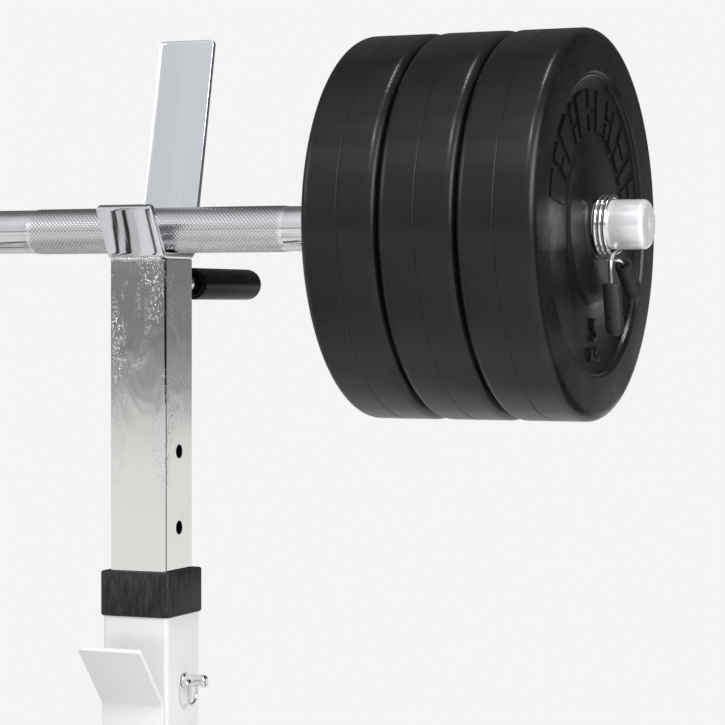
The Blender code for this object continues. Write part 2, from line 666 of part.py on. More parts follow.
def spring_arm_points():
    """The wire of the arm behind, which turns about the bar when the two arms are squeezed."""
    return [(0.0017, 0.0008, -0.0200), (0.0025, 0.0060, -0.0200), (0.0060, 0.0135, -0.0206),
            (0.0090, 0.0200, -0.0234), (0.0090, 0.0400, -0.0389)]


def spring_grip_mesh(plastic):
    """A sleeve over the end of one spring arm, along X with its mouth at the origin."""
    return to_mesh("spring_grip", turned([
        (0.0272, 0.0018), (0.0, 0.0018), (0.0, 0.0049), (0.0008, 0.0054), (0.0260, 0.0055),
        (0.0300, 0.0042), (0.0320, 0.0015),
    ], 12), plastic)


def aim(start, end):
    """The rotation that turns +X to the way from start to end."""
    return Vector((1, 0, 0)).rotation_difference(Vector(end) - Vector(start)).to_euler()


def build_barbell(looks):
    barbell = make_empty("barbell", (0.0, UPRIGHT_Y, BAR_HEIGHT))
    build_shaft(barbell, looks)
    plate = weight_plate_mesh(looks["plate"])
    coil_points = spring_coil_points()
    arm_points = spring_arm_points()
    coil = wire_curve("spring_coil", coil_points, 0.0014, looks["chrome"])
    arm = wire_curve("spring_arm", arm_points, 0.0014, looks["chrome"])
    grip = spring_grip_mesh(looks["plastic"])
    front_grip = Vector(coil_points[-2]).lerp(Vector(coil_points[-1]), 0.24)
    for side, way in (("right", 1), ("left", -1)):
        end = make_empty(f"{side}_bar_end", (0.0, 0.0, 0.0), barbell, way)
        for number in range(PLATES_PER_SIDE):
            middle = UPRIGHT_X + FIRST_PLATE + number * PLATE_PITCH + (PLATE_PITCH - GAP) / 2
            put(f"{side}_plate_{number + 1}", plate, (middle, 0.0, 0.0), end)
        collar = make_empty(f"{side}_collar", (UPRIGHT_X + RIM_FACE, 0.0, 0.0), end)
        put(f"{side}_spring_coil", coil, (0.0, 0.0, 0.0), collar)
        put(f"{side}_front_spring_grip", grip, front_grip, collar, aim(coil_points[-2], coil_points[-1]))
        put(f"{side}_spring_arm", arm, (0.0, 0.0, 0.0), collar)
        put(f"{side}_rear_spring_grip", grip, arm_points[-2], collar, aim(arm_points[-2], arm_points[-1]))


def main():
    clear_scene()
    looks = {
        "paint": make_material("white_paint", (0.78, 0.78, 0.78), 0.40, 0.0),
        "chrome": make_material("chrome", (0.72, 0.72, 0.73), 0.14, 1.0),
        "zinc": make_material("zinc", (0.60, 0.60, 0.61), 0.32, 1.0),
        "plastic": make_material("black_plastic", (0.030, 0.030, 0.030), 0.45, 0.0),
        "plate": make_material("plate_plastic", (0.020, 0.020, 0.021), 0.42, 0.0),
        "rubber": make_material("black_rubber", (0.022, 0.022, 0.022), 0.55, 0.0),
        "leather": make_material("black_leather", (0.025, 0.025, 0.026), 0.50, 0.0),
        "wood": make_material("board_wood", (0.38, 0.26, 0.16), 0.70, 0.0),
    }
    sides = {
        "right": make_empty("right_side", (0.0, UPRIGHT_Y, 0.0)),
        "left": make_empty("left_side", (0.0, UPRIGHT_Y, 0.0), side=-1),
    }
    build_frame_sides(sides, looks)
    build_bench_support(looks)
    build_seat(looks)
    build_hinge(looks)
    build_back(looks)
    build_incline_pin(looks)
    build_telescopes(sides, looks)
    build_lock_pins(sides, looks)
    build_barbell(looks)


main()
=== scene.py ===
import math

import bmesh
import bpy
from mathutils import Matrix, Vector
from mathutils.bvhtree import BVHTree


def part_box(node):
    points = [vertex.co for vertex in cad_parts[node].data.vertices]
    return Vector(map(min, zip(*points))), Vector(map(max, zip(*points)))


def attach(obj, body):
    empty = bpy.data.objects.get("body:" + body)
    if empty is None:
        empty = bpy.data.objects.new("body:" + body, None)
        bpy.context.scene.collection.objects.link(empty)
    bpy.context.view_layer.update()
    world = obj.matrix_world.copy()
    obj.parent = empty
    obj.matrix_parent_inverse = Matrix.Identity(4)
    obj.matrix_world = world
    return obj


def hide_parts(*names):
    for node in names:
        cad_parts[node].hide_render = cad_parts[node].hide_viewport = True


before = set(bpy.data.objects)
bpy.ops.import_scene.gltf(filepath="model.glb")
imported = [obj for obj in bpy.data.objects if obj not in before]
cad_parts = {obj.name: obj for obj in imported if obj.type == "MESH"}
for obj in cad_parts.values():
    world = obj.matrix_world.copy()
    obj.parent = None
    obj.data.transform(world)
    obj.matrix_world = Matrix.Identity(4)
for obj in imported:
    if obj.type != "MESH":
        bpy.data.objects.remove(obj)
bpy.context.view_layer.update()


def middle_of(node):
    low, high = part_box(node)
    return (low + high) / 2


def placed(name, data):
    """A new object in the scene, at the origin."""
    piece = bpy.data.objects.new(name, data)
    bpy.context.scene.collection.objects.link(piece)
    return piece


# ---------------- places and sizes read from the frame

BAR_Y = middle_of("bar_shaft").y
BAR_Z = middle_of("bar_shaft").z
HALF_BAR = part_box("bar_shaft")[1].x
UPRIGHT_X = middle_of("right_inner_tube").x
HALF_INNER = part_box("right_inner_tube")[1].x - UPRIGHT_X
HALF_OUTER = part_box("right_upright")[1].x - UPRIGHT_X
PIN_Z = middle_of("right_lock_pin").z
PLATE_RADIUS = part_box("right_plate_1")[1].z - BAR_Z
PLATE_HALF = (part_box("right_plate_1")[1].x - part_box("right_plate_1")[0].x) / 2
COLLAR_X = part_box("right_plate_3")[1].x

HOLE_PITCH = 0.049
GRIP_RADIUS = 0.01425
SLEEVE_RADIUS = 0.0150
KNURL_FROM, KNURL_TO = -0.0855, 0.0987       # measured outwards from the upright
STOP_WIDTH, STOP_RADIUS = 0.0150, 0.0225
HOOK_THICKNESS = 0.0040
SEAM_DROP = 0.014                            # from a pad's top
QUARTERS = ((1, 1), (-1, 1), (-1, -1), (1, -1))
WIRE_RADIUS = 0.0014                         # the spring collars'


# ---------------- camera, light and floor

def make_camera():
    data = bpy.data.cameras.new("camera")
    data.sensor_width = 36.0
    data.lens = 130.93
    data.shift_y = -0.0777
    data.clip_end = 200.0
    camera = placed("camera", data)
    camera.location = (UPRIGHT_X + 0.7973, BAR_Y - 1.5125, BAR_Z - 0.0489)
    camera.rotation_euler = (math.radians(90), 0.0, math.radians(23.223))
    bpy.context.scene.camera = camera


def make_world():
    """A pale studio as the plating mirrors it: a bright floor, a dark band at the horizon, a bright
    upper front and a dim back. The camera itself sees an even backdrop."""
    world = bpy.data.worlds.new("studio")
    bpy.context.scene.world = world
    world.use_nodes = True
    tree = world.node_tree
    tree.nodes.clear()
    link = tree.links.new

    def node(kind):
        return tree.nodes.new(f"ShaderNode{kind}")

    split = node("SeparateXYZ")
    link(node("TexCoord").outputs["Generated"], split.inputs[0])

    def scaled(axis, low, high, start=0.0, end=1.0):
        scale = node("MapRange")
        for socket, value in zip(("From Min", "From Max", "To Min", "To Max"), (low, high, start, end)):
            scale.inputs[socket].default_value = value
        link(split.outputs[axis], scale.inputs["Value"])
        return scale.outputs[0]

    def ramp(source, *stops):
        colours = node("ValToRGB")
        elements = colours.color_ramp.elements
        while len(elements) < len(stops):
            elements.new(0.5)
        for element, (position, value) in zip(elements, stops):
            element.position = position
            element.color = (value, value, value, 1.0)
        link(source, colours.inputs[0])
        return colours.outputs[0]

    def times(first, second):
        product = node("Math")
        product.operation = "MULTIPLY"
        link(first, product.inputs[0])
        link(second, product.inputs[1])
        return product.outputs[0]

    horizon = ramp(
        scaled("Z", -0.10, 0.10), (0.0, 0.90), (0.20, 0.86), (0.26, 0.76), (0.32, 0.50), (0.38, 0.34),
        (0.46, 0.24), (0.58, 0.26), (0.72, 0.48), (0.90, 0.76), (1.0, 0.80))
    behind = ramp(
        scaled("Y", -0.7, 0.7), (0.0, 0.90), (0.14, 0.84), (0.25, 0.72), (0.38, 0.62), (0.46, 0.50),
        (0.54, 0.35), (0.62, 0.25), (0.72, 0.19), (1.0, 0.16))
    above = scaled("Z", 0.0, 0.07)
    sky = node("Mix")
    sky.inputs["A"].default_value = 1.0
    link(above, sky.inputs["Factor"])
    link(behind, sky.inputs["B"])
    brightness = times(times(horizon, sky.outputs["Result"]), scaled("Z", 0.42, 0.62, 1.0, 1.18))
    tint = node("Mix")
    tint.data_type = "RGBA"
    tint.inputs[6].default_value = (1.0, 0.984, 0.960, 1.0)
    tint.inputs[7].default_value = (0.960, 0.980, 1.020, 1.0)
    link(above, tint.inputs[0])
    around = node("Background")
    link(tint.outputs[2], around.inputs["Color"])
    link(brightness, around.inputs["Strength"])
    backdrop = node("Background")
    backdrop.inputs["Color"].default_value = (0.905, 0.905, 0.905, 1.0)
    mix = node("MixShader")
    link(node("LightPath").outputs["Is Camera Ray"], mix.inputs[0])
    link(around.outputs[0], mix.inputs[1])
    link(backdrop.outputs[0], mix.inputs[2])
    link(mix.outputs[0], node("OutputWorld").inputs["Surface"])


def make_lamp(name, place, target, width, height, power, mirrored_too=False):
    data = bpy.data.lights.new(name, "AREA")
    data.shape = "RECTANGLE"
    data.size = width
    data.size_y = height
    data.energy = power
    lamp = placed(name, data)
    lamp.location = place
    lamp.rotation_euler = (Vector(target) - Vector(place)).to_track_quat("-Z", "Y").to_euler()
    lamp.visible_glossy = mirrored_too


def make_lamps():
    target = (UPRIGHT_X, BAR_Y, 0.9)
    make_lamp("key", (1.05, -1.7, 3.5), target, 0.4, 0.3, 28, mirrored_too=True)
    make_lamp("strip", (1.00, BAR_Y + 0.05, 3.3), target, 0.6, 0.14, 12, mirrored_too=True)
    make_lamp("left", (-3.4, -1.6, 2.8), target, 2.4, 1.8, 28, mirrored_too=True)
    make_lamp("right", (4.0, -0.6, 2.2), target, 2.2, 1.8, 84, mirrored_too=True)
    make_lamp("fill", (0.2, -3.4, 0.3), target, 2.6, 0.8, 22)


def make_flags():
    """Dark cards that only the polished faces see: one behind the weights, and three narrow ones low
    down that draw bands in the hooks' lips."""
    upright = Matrix.Rotation(math.radians(90), 4, "X")
    cards = (
        ("weights", (1.8, 1.8), (HALF_BAR + 1.05, BAR_Y + 0.62, BAR_Z - 0.1), upright),
        ("left", (0.045, 0.7), (-0.100, -0.06, 0.25), None),
        ("middle", (0.050, 0.7), (0.005, -0.06, 0.25), None),
        ("right", (0.024, 0.7), (0.260, -0.06, 0.25), None),
    )
    for name, (width, length), place, turn in cards:
        work = bmesh.new()
        bmesh.ops.create_grid(work, x_segments=1, y_segments=1, size=0.5)
        bmesh.ops.scale(work, vec=(width, length, 1.0), verts=work.verts)
        flag = finish_mesh(f"flag_{name}", moved(work, place, turn), "flag_cloth")
        flag.visible_camera = False
        flag.visible_diffuse = False
        flag.visible_shadow = False


# ---------------- materials

class Look:
    """A node material in the making, with short calls for the patterns that the looks share."""

    def __init__(self, name, colour, roughness, metallic=0.0, **sockets):
        self.material = bpy.data.materials.new(name)
        self.material.use_nodes = True
        self.tree = self.material.node_tree
        self.shader = self.tree.nodes["Principled BSDF"]
        self.place = self.node("TexCoord")
        self.set("Base Color", (*colour, 1.0))
        self.set("Roughness", roughness)
        self.set("Metallic", metallic)
        for socket, value in sockets.items():
            self.set(socket.replace("_", " "), value)

    def node(self, kind):
        return self.tree.nodes.new(f"ShaderNode{kind}")

    def set(self, socket, value):
        self.shader.inputs[socket].default_value = value

    def link(self, source, socket):
        self.tree.links.new(source, socket)

    def mapped(self, stretch):
        mapping = self.node("Mapping")
        mapping.inputs["Scale"].default_value = stretch
        self.link(self.place.outputs["Object"], mapping.inputs["Vector"])
        return mapping.outputs["Vector"]

    def noise(self, scale, detail=3.0, stretch=(1.0, 1.0, 1.0), distortion=0.0):
        node = self.node("TexNoise")
        node.inputs["Scale"].default_value = scale
        node.inputs["Detail"].default_value = detail
        node.inputs["Distortion"].default_value = distortion
        self.link(self.mapped(stretch), node.inputs["Vector"])
        return node.outputs["Fac"]

    def cell_edges(self, scale):
        """The distance to the edge of small leather-like cells."""
        node = self.node("TexVoronoi")
        node.feature = "DISTANCE_TO_EDGE"
        node.inputs["Scale"].default_value = scale
        self.link(self.mapped((1.0, 1.0, 1.0)), node.inputs["Vector"])
        return node.outputs["Distance"]

    def attribute(self, name):
        node = self.node("Attribute")
        node.attribute_name = name
        return node.outputs["Fac"]

    def height(self, low, high):
        """From 0 to 1 as the piece's own Z goes from low to high."""
        split = self.node("SeparateXYZ")
        self.link(self.place.outputs["Object"], split.inputs[0])
        return self.range(split.outputs["Z"], 0.0, 1.0, low, high)

    def range(self, source, low, high, start=0.35, end=0.65):
        """Maps a pattern to values from low to high."""
        scaled = self.node("MapRange")
        for socket, value in zip(("From Min", "From Max", "To Min", "To Max"), (start, end, low, high)):
            scaled.inputs[socket].default_value = value
        self.link(source, scaled.inputs["Value"])
        return scaled.outputs[0]

    def times(self, first, second):
        node = self.node("Math")
        node.operation = "MULTIPLY"
        self.link(first, node.inputs[0])
        self.link(second, node.inputs[1])
        return node.outputs[0]

    def colours(self, source, *stops):
        """Colours the surface along a pattern from (position, colour) stops."""
        ramp = self.node("ValToRGB")
        elements = ramp.color_ramp.elements
        while len(elements) < len(stops):
            elements.new(0.5)
        for element, (position, colour) in zip(elements, stops):
            element.position = position
            element.color = (*colour, 1.0)
        self.link(source, ramp.inputs[0])
        self.link(ramp.outputs["Color"], self.shader.inputs["Base Color"])

    def mottled(self, scale, detail, *stops):
        """Colours the surface along plain noise."""
        self.colours(self.noise(scale, detail), *stops)

    def roughness(self, source, low, high, start=0.35, end=0.65):
        self.link(self.range(source, low, high, start, end), self.shader.inputs["Roughness"])

    def relief(self, *layers):
        """Adds bump layers of (pattern, depth in metres)."""
        before = None
        for pattern, depth in layers:
            bump = self.node("Bump")
            bump.inputs["Strength"].default_value = 1.0
            bump.inputs["Distance"].default_value = depth
            self.link(pattern, bump.inputs["Height"])
            if before:
                self.link(before, bump.inputs["Normal"])
            before = bump.outputs["Normal"]
        self.link(before, self.shader.inputs["Normal"])


def grey(value, warmth=0.0):
    return (value * (1 + warmth), value, value * (1 - warmth))


def worn_chrome():
    """Thin plating, smooth low down, with sparse scuffs and streaks towards the telescope's top."""
    look = Look("worn_chrome", grey(0.80), 0.05, 1.0)
    high = look.height(BAR_Z - 0.200, BAR_Z - 0.070)
    patches = look.range(look.noise(41.0, 3.0, (1.0, 1.0, 0.40), 0.6), 0.0, 1.0, 0.48, 0.62)
    flakes = look.range(look.noise(480.0, 6.0, (1.0, 1.0, 0.6), 2.0), 0.0, 1.0, 0.58, 0.62)
    scratches = look.range(look.noise(260.0, 2.0, (1.0, 1.0, 0.03), 0.3), 0.0, 1.0, 0.56, 0.66)
    worn = look.times(look.times(high, patches), flakes)
    dents = look.times(high, look.noise(48.0, 2.0, (1.0, 1.0, 0.5), 1.0))
    look.colours(worn, (0.0, grey(0.80)), (0.5, grey(0.86)), (1.0, grey(0.92)))
    look.roughness(worn, 0.045, 0.445, 0.0, 1.0)
    look.relief((worn, 0.00010), (look.times(scratches, high), 0.000035), (dents, 0.00018))
    return look.material


def brushed_chrome():
    """The hooks' plating, faintly rippled across their width."""
    look = Look("brushed_chrome", grey(0.79), 0.09, 1.0)
    streaks = look.noise(340.0, 3.0, (1.0, 0.03, 0.03))
    ripples = look.noise(95.0, 1.5, (1.0, 0.06, 0.06))
    look.colours(ripples, (0.30, (0.76, 0.77, 0.79)), (0.60, (0.80, 0.81, 0.83)))
    look.roughness(streaks, 0.02, 0.08)
    look.relief((streaks, 0.000006), (ripples, 0.00012))
    return look.material


def bright_chrome():
    look = Look("bright_chrome", grey(0.80), 0.07, 1.0)
    look.mottled(90.0, 4.0, (0.30, grey(0.74)), (0.60, grey(0.84)))
    look.roughness(look.noise(160.0, 5.0), 0.03, 0.10)
    look.relief((look.noise(45.0), 0.00004))
    return look.material


def knurled_chrome():
    """Cut diamonds, with painted shade down in their grooves."""
    look = Look("knurled_chrome", grey(0.76), 0.16, 1.0)
    # painted shade: the colour darkens with the grooves' depth and lightens on the diamonds' tops
    look.colours(look.attribute("ridge"), (0.0, grey(0.42)), (0.45, grey(0.78)), (0.80, grey(0.95)))
    look.roughness(look.noise(500.0, 4.0), 0.10, 0.22)
    look.relief((look.noise(900.0, 2.0), 0.00001))
    return look.material


def satin_steel():
    look = Look("satin_steel", grey(0.60), 0.30, 1.0)
    look.colours(look.noise(420.0, 5.0, distortion=0.6), (0.32, grey(0.42)), (0.62, grey(0.72)))
    look.roughness(look.noise(300.0, 4.0), 0.22, 0.45)
    look.relief((look.noise(700.0, 4.0), 0.00008))
    return look.material


def weld_metal():
    look = Look("weld_metal", grey(0.66), 0.25, 1.0)
    look.mottled(300.0, 4.0, (0.35, grey(0.50, 0.03)), (0.65, grey(0.76)))
    look.roughness(look.noise(500.0), 0.15, 0.38)
    look.relief((look.noise(450.0, 3.0), 0.00025))
    return look.material


def white_paint():
    look = Look("white_powder_coat", grey(0.78), 0.46, Specular_IOR_Level=0.35)
    look.mottled(14.0, 4.0, (0.30, (0.745, 0.745, 0.750)), (0.70, (0.785, 0.785, 0.782)))
    look.roughness(look.noise(220.0, 3.0), 0.42, 0.56)
    look.relief((look.noise(650.0, 2.0), 0.00006), (look.noise(60.0, 2.0), 0.00012))
    return look.material


def streaked_plastic():
    """Moulded black plastic with short streaks along the draw direction."""
    look = Look("streaked_plastic", grey(0.030), 0.50, Specular_IOR_Level=0.35)
    streaks = look.noise(560.0, 5.0, (1.0, 1.0, 0.20), 0.4)
    look.colours(streaks, (0.36, grey(0.006)), (0.50, grey(0.015)), (0.64, grey(0.030)))
    look.roughness(streaks, 0.40, 0.62)
    look.relief((streaks, 0.00015), (look.noise(90.0, 3.0, (1.0, 1.0, 0.3)), 0.00012))
    return look.material


def plate_plastic():
    """The plates' satin shell, faintly mottled, with scuffs that catch the light."""
    look = Look("plate_plastic", grey(0.006), 0.30, Specular_IOR_Level=0.34)
    scuffs = look.noise(24.0, 6.0, (0.35, 1.0, 1.0), 0.8)
    fine = look.noise(520.0, 4.0)
    look.colours(scuffs, (0.32, grey(0.0042)), (0.55, grey(0.0072)), (0.78, grey(0.014, 0.04)))
    look.roughness(scuffs, 0.22, 0.36)
    look.relief((fine, 0.00003), (look.noise(60.0, 3.0), 0.00016))
    return look.material


def glossy_rubber():
    look = Look("handle_rubber", grey(0.005), 0.22, Specular_IOR_Level=0.08)
    look.mottled(60.0, 4.0, (0.35, grey(0.003)), (0.70, grey(0.007)))
    look.roughness(look.noise(180.0, 4.0), 0.15, 0.26)
    look.relief((look.noise(400.0, 3.0), 0.00002), (look.noise(55.0), 0.0001))
    return look.material


def matt_vinyl():
    look = Look("matt_vinyl", grey(0.018), 0.55, Specular_IOR_Level=0.4)
    look.mottled(240.0, 5.0, (0.32, grey(0.010)), (0.68, grey(0.024, 0.03)))
    look.roughness(look.noise(320.0), 0.46, 0.66)
    look.relief((look.noise(900.0, 3.0), 0.00010))
    return look.material


def foot_rubber():
    look = Look("foot_rubber", grey(0.024), 0.62)
    look.mottled(45.0, 6.0, (0.30, grey(0.017)), (0.75, grey(0.045, 0.05)))
    look.roughness(look.noise(120.0, 4.0), 0.52, 0.74)
    look.relief((look.noise(650.0, 3.0), 0.00012))
    return look.material


def pad_leather():
    """Grained artificial leather."""
    look = Look("pad_leather", grey(0.022), 0.48, Sheen_Weight=0.05)
    grain = look.cell_edges(620.0)
    folds = look.noise(36.0, 4.0, distortion=0.6)
    look.colours(folds, (0.30, grey(0.017)), (0.70, grey(0.030, 0.02)))
    look.roughness(grain, 0.56, 0.40, 0.0, 0.25)
    look.relief((look.range(grain, 0.0, 1.0, 0.0, 0.18), 0.00022), (look.noise(150.0, 3.0), 0.0004))
    return look.material


def plywood():
    look = Look("plywood", (0.42, 0.28, 0.16), 0.62)
    grain = look.noise(60.0, 6.0, (1.0, 0.06, 12.0), distortion=1.2)
    look.colours(grain, (0.25, (0.20, 0.12, 0.065)), (0.50, (0.40, 0.27, 0.16)), (0.75, (0.53, 0.38, 0.24)))
    look.roughness(grain, 0.52, 0.75)
    look.relief((grain, 0.0004))
    return look.material


def studio_floor():
    look = Look("studio_floor", grey(0.86), 0.70)
    look.mottled(3.0, 3.0, (0.35, grey(0.855)), (0.70, grey(0.865)))
    return look.material


def flag_cloth():
    look = Look("flag_cloth", grey(0.02), 0.9)
    look.colours(look.noise(40.0), (0.35, grey(0.015)), (0.70, grey(0.025)))
    return look.material


def machined_end():
    """The bar's ends beyond the weights, bright and satin from turning."""
    look = Look("machined_end", grey(0.90), 0.26, 0.45)
    look.mottled(120.0, 3.0, (0.32, (0.90, 0.91, 0.92)), (0.62, (0.93, 0.94, 0.95)))
    look.roughness(look.noise(300.0, 4.0), 0.16, 0.22)
    look.relief((look.noise(700.0, 4.0), 0.000004))
    return look.material


LOOKS = {}


def make_looks():
    for make in (worn_chrome, brushed_chrome, bright_chrome, knurled_chrome, satin_steel, weld_metal,
                 white_paint, streaked_plastic, plate_plastic, glossy_rubber, matt_vinyl, foot_rubber,
                 pad_leather, plywood, machined_end, flag_cloth, studio_floor):
        LOOKS[make.__name__] = make()


# ---------------- pieces and shapes

def finish_mesh(name, work, look, sharp=35.0):
    bmesh.ops.recalc_face_normals(work, faces=work.faces)
    mesh = bpy.data.meshes.new(name)
    work.to_mesh(mesh)
    work.free()
    mesh.materials.append(LOOKS[look])
    mesh.shade_smooth()
    mesh.set_sharp_from_angle(angle=math.radians(sharp))
    return placed(name, mesh)


def soften(piece, width, segments=3, angle=40.0):
    """Rounds the sharp edges and keeps the flat faces flat."""
    bevel = piece.modifiers.new("edges", "BEVEL")
    bevel.width = width
    bevel.segments = segments
    bevel.limit_method = "ANGLE"
    bevel.angle_limit = math.radians(angle)
    normals = piece.modifiers.new("normals", "WEIGHTED_NORMAL")
    normals.keep_sharp = True
    return piece


def settle(piece, body, slot, *nodes):
    """Hangs a piece on its body and hides the nodes that it stands for. Its slot is not used."""
    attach(piece, body)
    if nodes:
        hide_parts(*nodes)
    return piece


def mirrored(piece, name):
    """The mirror image of a piece in the plane between the two sides."""
    twin = piece.copy()
    twin.data = piece.data.copy()
    twin.name = name
    bpy.context.scene.collection.objects.link(twin)
    if twin.type == "MESH":
        twin.data.transform(Matrix.Diagonal((-1.0, 1.0, 1.0, 1.0)))
        twin.data.flip_normals()
        return twin
    for point in twin.data.splines[0].points:
        point.co.x = -point.co.x
    return twin


def pair(piece, body, slot, *nodes):
    """Settles a piece on the right side and its mirror image on the left. The names of the pieces, their
    nodes and a body that each side has get the side in front."""
    base = piece.name
    twin = mirrored(piece, f"left_{base}")
    piece.name = f"right_{base}"
    shared = body in ("frame", "barbell")
    for side, one in (("right", piece), ("left", twin)):
        settle(one, body if shared else f"{side}_{body}", slot, *[f"{side}_{node}" for node in nodes])


def skin(rings, closed):
    """A surface through rings of points. It closes on itself, or gets a face at each end."""
    work = bmesh.new()
    loops = [[work.verts.new(point) for point in ring] for ring in rings]
    count = len(loops[0])
    pairs = list(zip(loops, loops[1:]))
    if closed:
        pairs.append((loops[-1], loops[0]))
    for first, second in pairs:
        for i in range(count):
            j = (i + 1) % count
            work.faces.new((first[i], first[j], second[j], second[i]))
    if not closed:
        work.faces.new(loops[0])
        work.faces.new(loops[-1])
    return work


def turned(profile, segments=48, closed=False):
    """A turned shape about X from (x, radius) points."""
    angles = [2 * math.pi * i / segments for i in range(segments)]
    return skin([[(x, r * math.cos(a), r * math.sin(a)) for a in angles] for x, r in profile], closed)


def arc(centre, radius, start, end, steps=5):
    """Points of an arc in a profile, with angles in degrees."""
    points = []
    for step in range(steps + 1):
        angle = math.radians(start + (end - start) * step / steps)
        points.append((centre[0] + radius * math.cos(angle), centre[1] + radius * math.sin(angle)))
    return points


def rounded_square(half, corner, height):
    points = []
    for quarter, (side_x, side_y) in enumerate(QUARTERS):
        for step in range(7):
            angle = math.radians(90 * quarter + 15 * step)
            points.append((side_x * (half - corner) + corner * math.cos(angle),
                           side_y * (half - corner) + corner * math.sin(angle), height))
    return points


def square_tube(half, corner, wall, low, high):
    inner = max(corner - wall, 0.0004)
    return skin([
        rounded_square(half, corner, low), rounded_square(half, corner, high),
        rounded_square(half - wall, inner, high), rounded_square(half - wall, inner, low),
    ], closed=True)


def moved(work, offset, turn=None):
    if turn:
        bmesh.ops.transform(work, matrix=turn, verts=work.verts)
    bmesh.ops.translate(work, vec=offset, verts=work.verts)
    return work


def cut(work, cutters):
    """The shape with round holes cut in it."""
    helpers = []
    for shape in [work, *cutters]:
        bmesh.ops.recalc_face_normals(shape, faces=shape.faces)
        mesh = bpy.data.meshes.new("helper")
        shape.to_mesh(mesh)
        shape.free()
        helpers.append(placed("helper", mesh))
    for tool in helpers[1:]:
        modifier = helpers[0].modifiers.new("cut", "BOOLEAN")
        modifier.operation = "DIFFERENCE"
        modifier.object = tool
    bpy.context.view_layer.update()
    result = bmesh.new()
    result.from_object(helpers[0], bpy.context.evaluated_depsgraph_get())
    for helper in helpers:
        bpy.data.objects.remove(helper, do_unlink=True)
    return result


def filleted(corners, radius):
    """A path through the corners with each bend rounded in eight steps."""
    path = [Vector(corners[0])]
    for before, corner, after in zip(corners, corners[1:], corners[2:]):
        corner = Vector(corner)
        to_before = (Vector(before) - corner).normalized()
        to_after = (Vector(after) - corner).normalized()
        half_angle = to_before.angle(to_after) / 2
        start = corner + to_before * radius / math.tan(half_angle)
        end = corner + to_after * radius / math.tan(half_angle)
        centre = corner + (to_before + to_after).normalized() * radius / math.sin(half_angle)
        for step in range(9):
            outwards = start.lerp(end, step / 8) - centre
            path.append(centre + outwards.normalized() * radius)
    path.append(Vector(corners[-1]))
    return path


def strip_ring(point, across, half_width, half_thickness, edge):
    """A rounded rectangle across a strip at one point of its path, in the plane of X and across."""
    ring = []
    for quarter, (side_x, side_n) in enumerate(QUARTERS):
        for step in range(4):
            angle = math.radians(90 * quarter + 30 * step)
            x = side_x * (half_width - edge) + edge * math.cos(angle)
            n = side_n * (half_thickness - edge) + edge * math.sin(angle)
            ring.append(Vector((x, 0.0, 0.0)) + point + across * n)
    return ring


def bent_plate(folds, thickness, bend, width, corner=0.0025):
    """A flat bar folded about X, with rounded corners at both ends and rounded edges.
    The (y, z) folds are those of its middle layer."""
    edge = 0.0005
    path = filleted([(0.0, y, z) for y, z in folds], bend)
    near_end = [corner * share for share in (0.0, 0.04, 0.12, 0.25, 0.45, 0.7, 1.0)]
    length = sum((b - a).length for a, b in zip(path, path[1:]))
    reached = [0.0]
    for a, b in zip(path, path[1:]):
        reached.append(reached[-1] + (b - a).length)
    places = sorted({*near_end, *[length - d for d in near_end], *reached[1:-1]})
    rings = []
    for place in places:
        index = max(i for i in range(len(path) - 1) if reached[i] <= place + 1e-9)
        span = reached[index + 1] - reached[index]
        point = path[index].lerp(path[index + 1], (place - reached[index]) / span)
        before, after = path[max(index - (place - reached[index] < 1e-9), 0)], path[index + 1]
        along = (after - before).normalized()
        across = Vector((0.0, -along.z, along.y))
        from_end = min(place, length - place)
        cut_back = corner - math.sqrt(max(corner**2 - (corner - min(from_end, corner))**2, 0.0))
        thinner = edge - math.sqrt(max(edge**2 - (edge - min(from_end, edge))**2, 0.0))
        rounding = edge * (0.98 if thinner < edge * 0.5 else 0.5)
        half_width = width / 2 - cut_back
        rings.append(strip_ring(point, across, half_width, thickness / 2 - thinner * 0.98, rounding))
    return skin(rings, closed=False)


def wire(name, points, radius, look, cyclic=False):
    curve = bpy.data.curves.new(name, "CURVE")
    curve.dimensions = "3D"
    curve.bevel_depth = radius
    curve.bevel_resolution = 4
    curve.use_fill_caps = True
    curve.materials.append(LOOKS[look])
    spline = curve.splines.new("POLY")
    spline.points.add(len(points) - 1)
    for target, point in zip(spline.points, points):
        target.co = (*point, 1.0)
    spline.use_cyclic_u = cyclic
    spline.use_smooth = True
    return placed(name, curve)


def smooth_path(points, steps=8, cyclic=False):
    """A curve through the points, as many short straight pieces."""
    known = [Vector(point) for point in points]
    count = len(known)
    result = []
    for i in range(count if cyclic else count - 1):
        if cyclic:
            a, b, c, d = (known[(i + k) % count] for k in (-1, 0, 1, 2))
        else:
            a, b, c, d = (known[min(max(i + k, 0), count - 1)] for k in (-1, 0, 1, 2))
        for step in range(steps):
            t = step / steps
            result.append(0.5 * (2 * b + (c - a) * t + (2 * a - 5 * b + 4 * c - d) * t**2
                                 + (3 * b - a - 3 * c + d) * t**3))
    if not cyclic:
        result.append(known[-1])
    return result


def weld_bead(name, points, radius, look="weld_metal", cyclic=False):
    """A lumpy bead along a path."""
    path = smooth_path(points, 10, cyclic)
    rings = []
    count = len(path)
    for i, point in enumerate(path):
        after = path[(i + 1) % count] if cyclic else path[min(i + 1, count - 1)]
        before = path[i - 1] if cyclic else path[max(i - 1, 0)]
        along = (after - before).normalized()
        side = along.cross(Vector((0.31, 0.52, 0.79))).normalized()
        up = along.cross(side)
        swell = 1.0 + 0.13 * math.sin(2 * math.pi * i / 4.375) + 0.08 * math.sin(1.7 * i)
        rings.append([point + (side * math.cos(a) + up * math.sin(a)) * radius * swell
                      for a in [math.radians(36 * k) for k in range(10)]])
    return finish_mesh(name, skin(rings, closed=cyclic), look, 80.0)


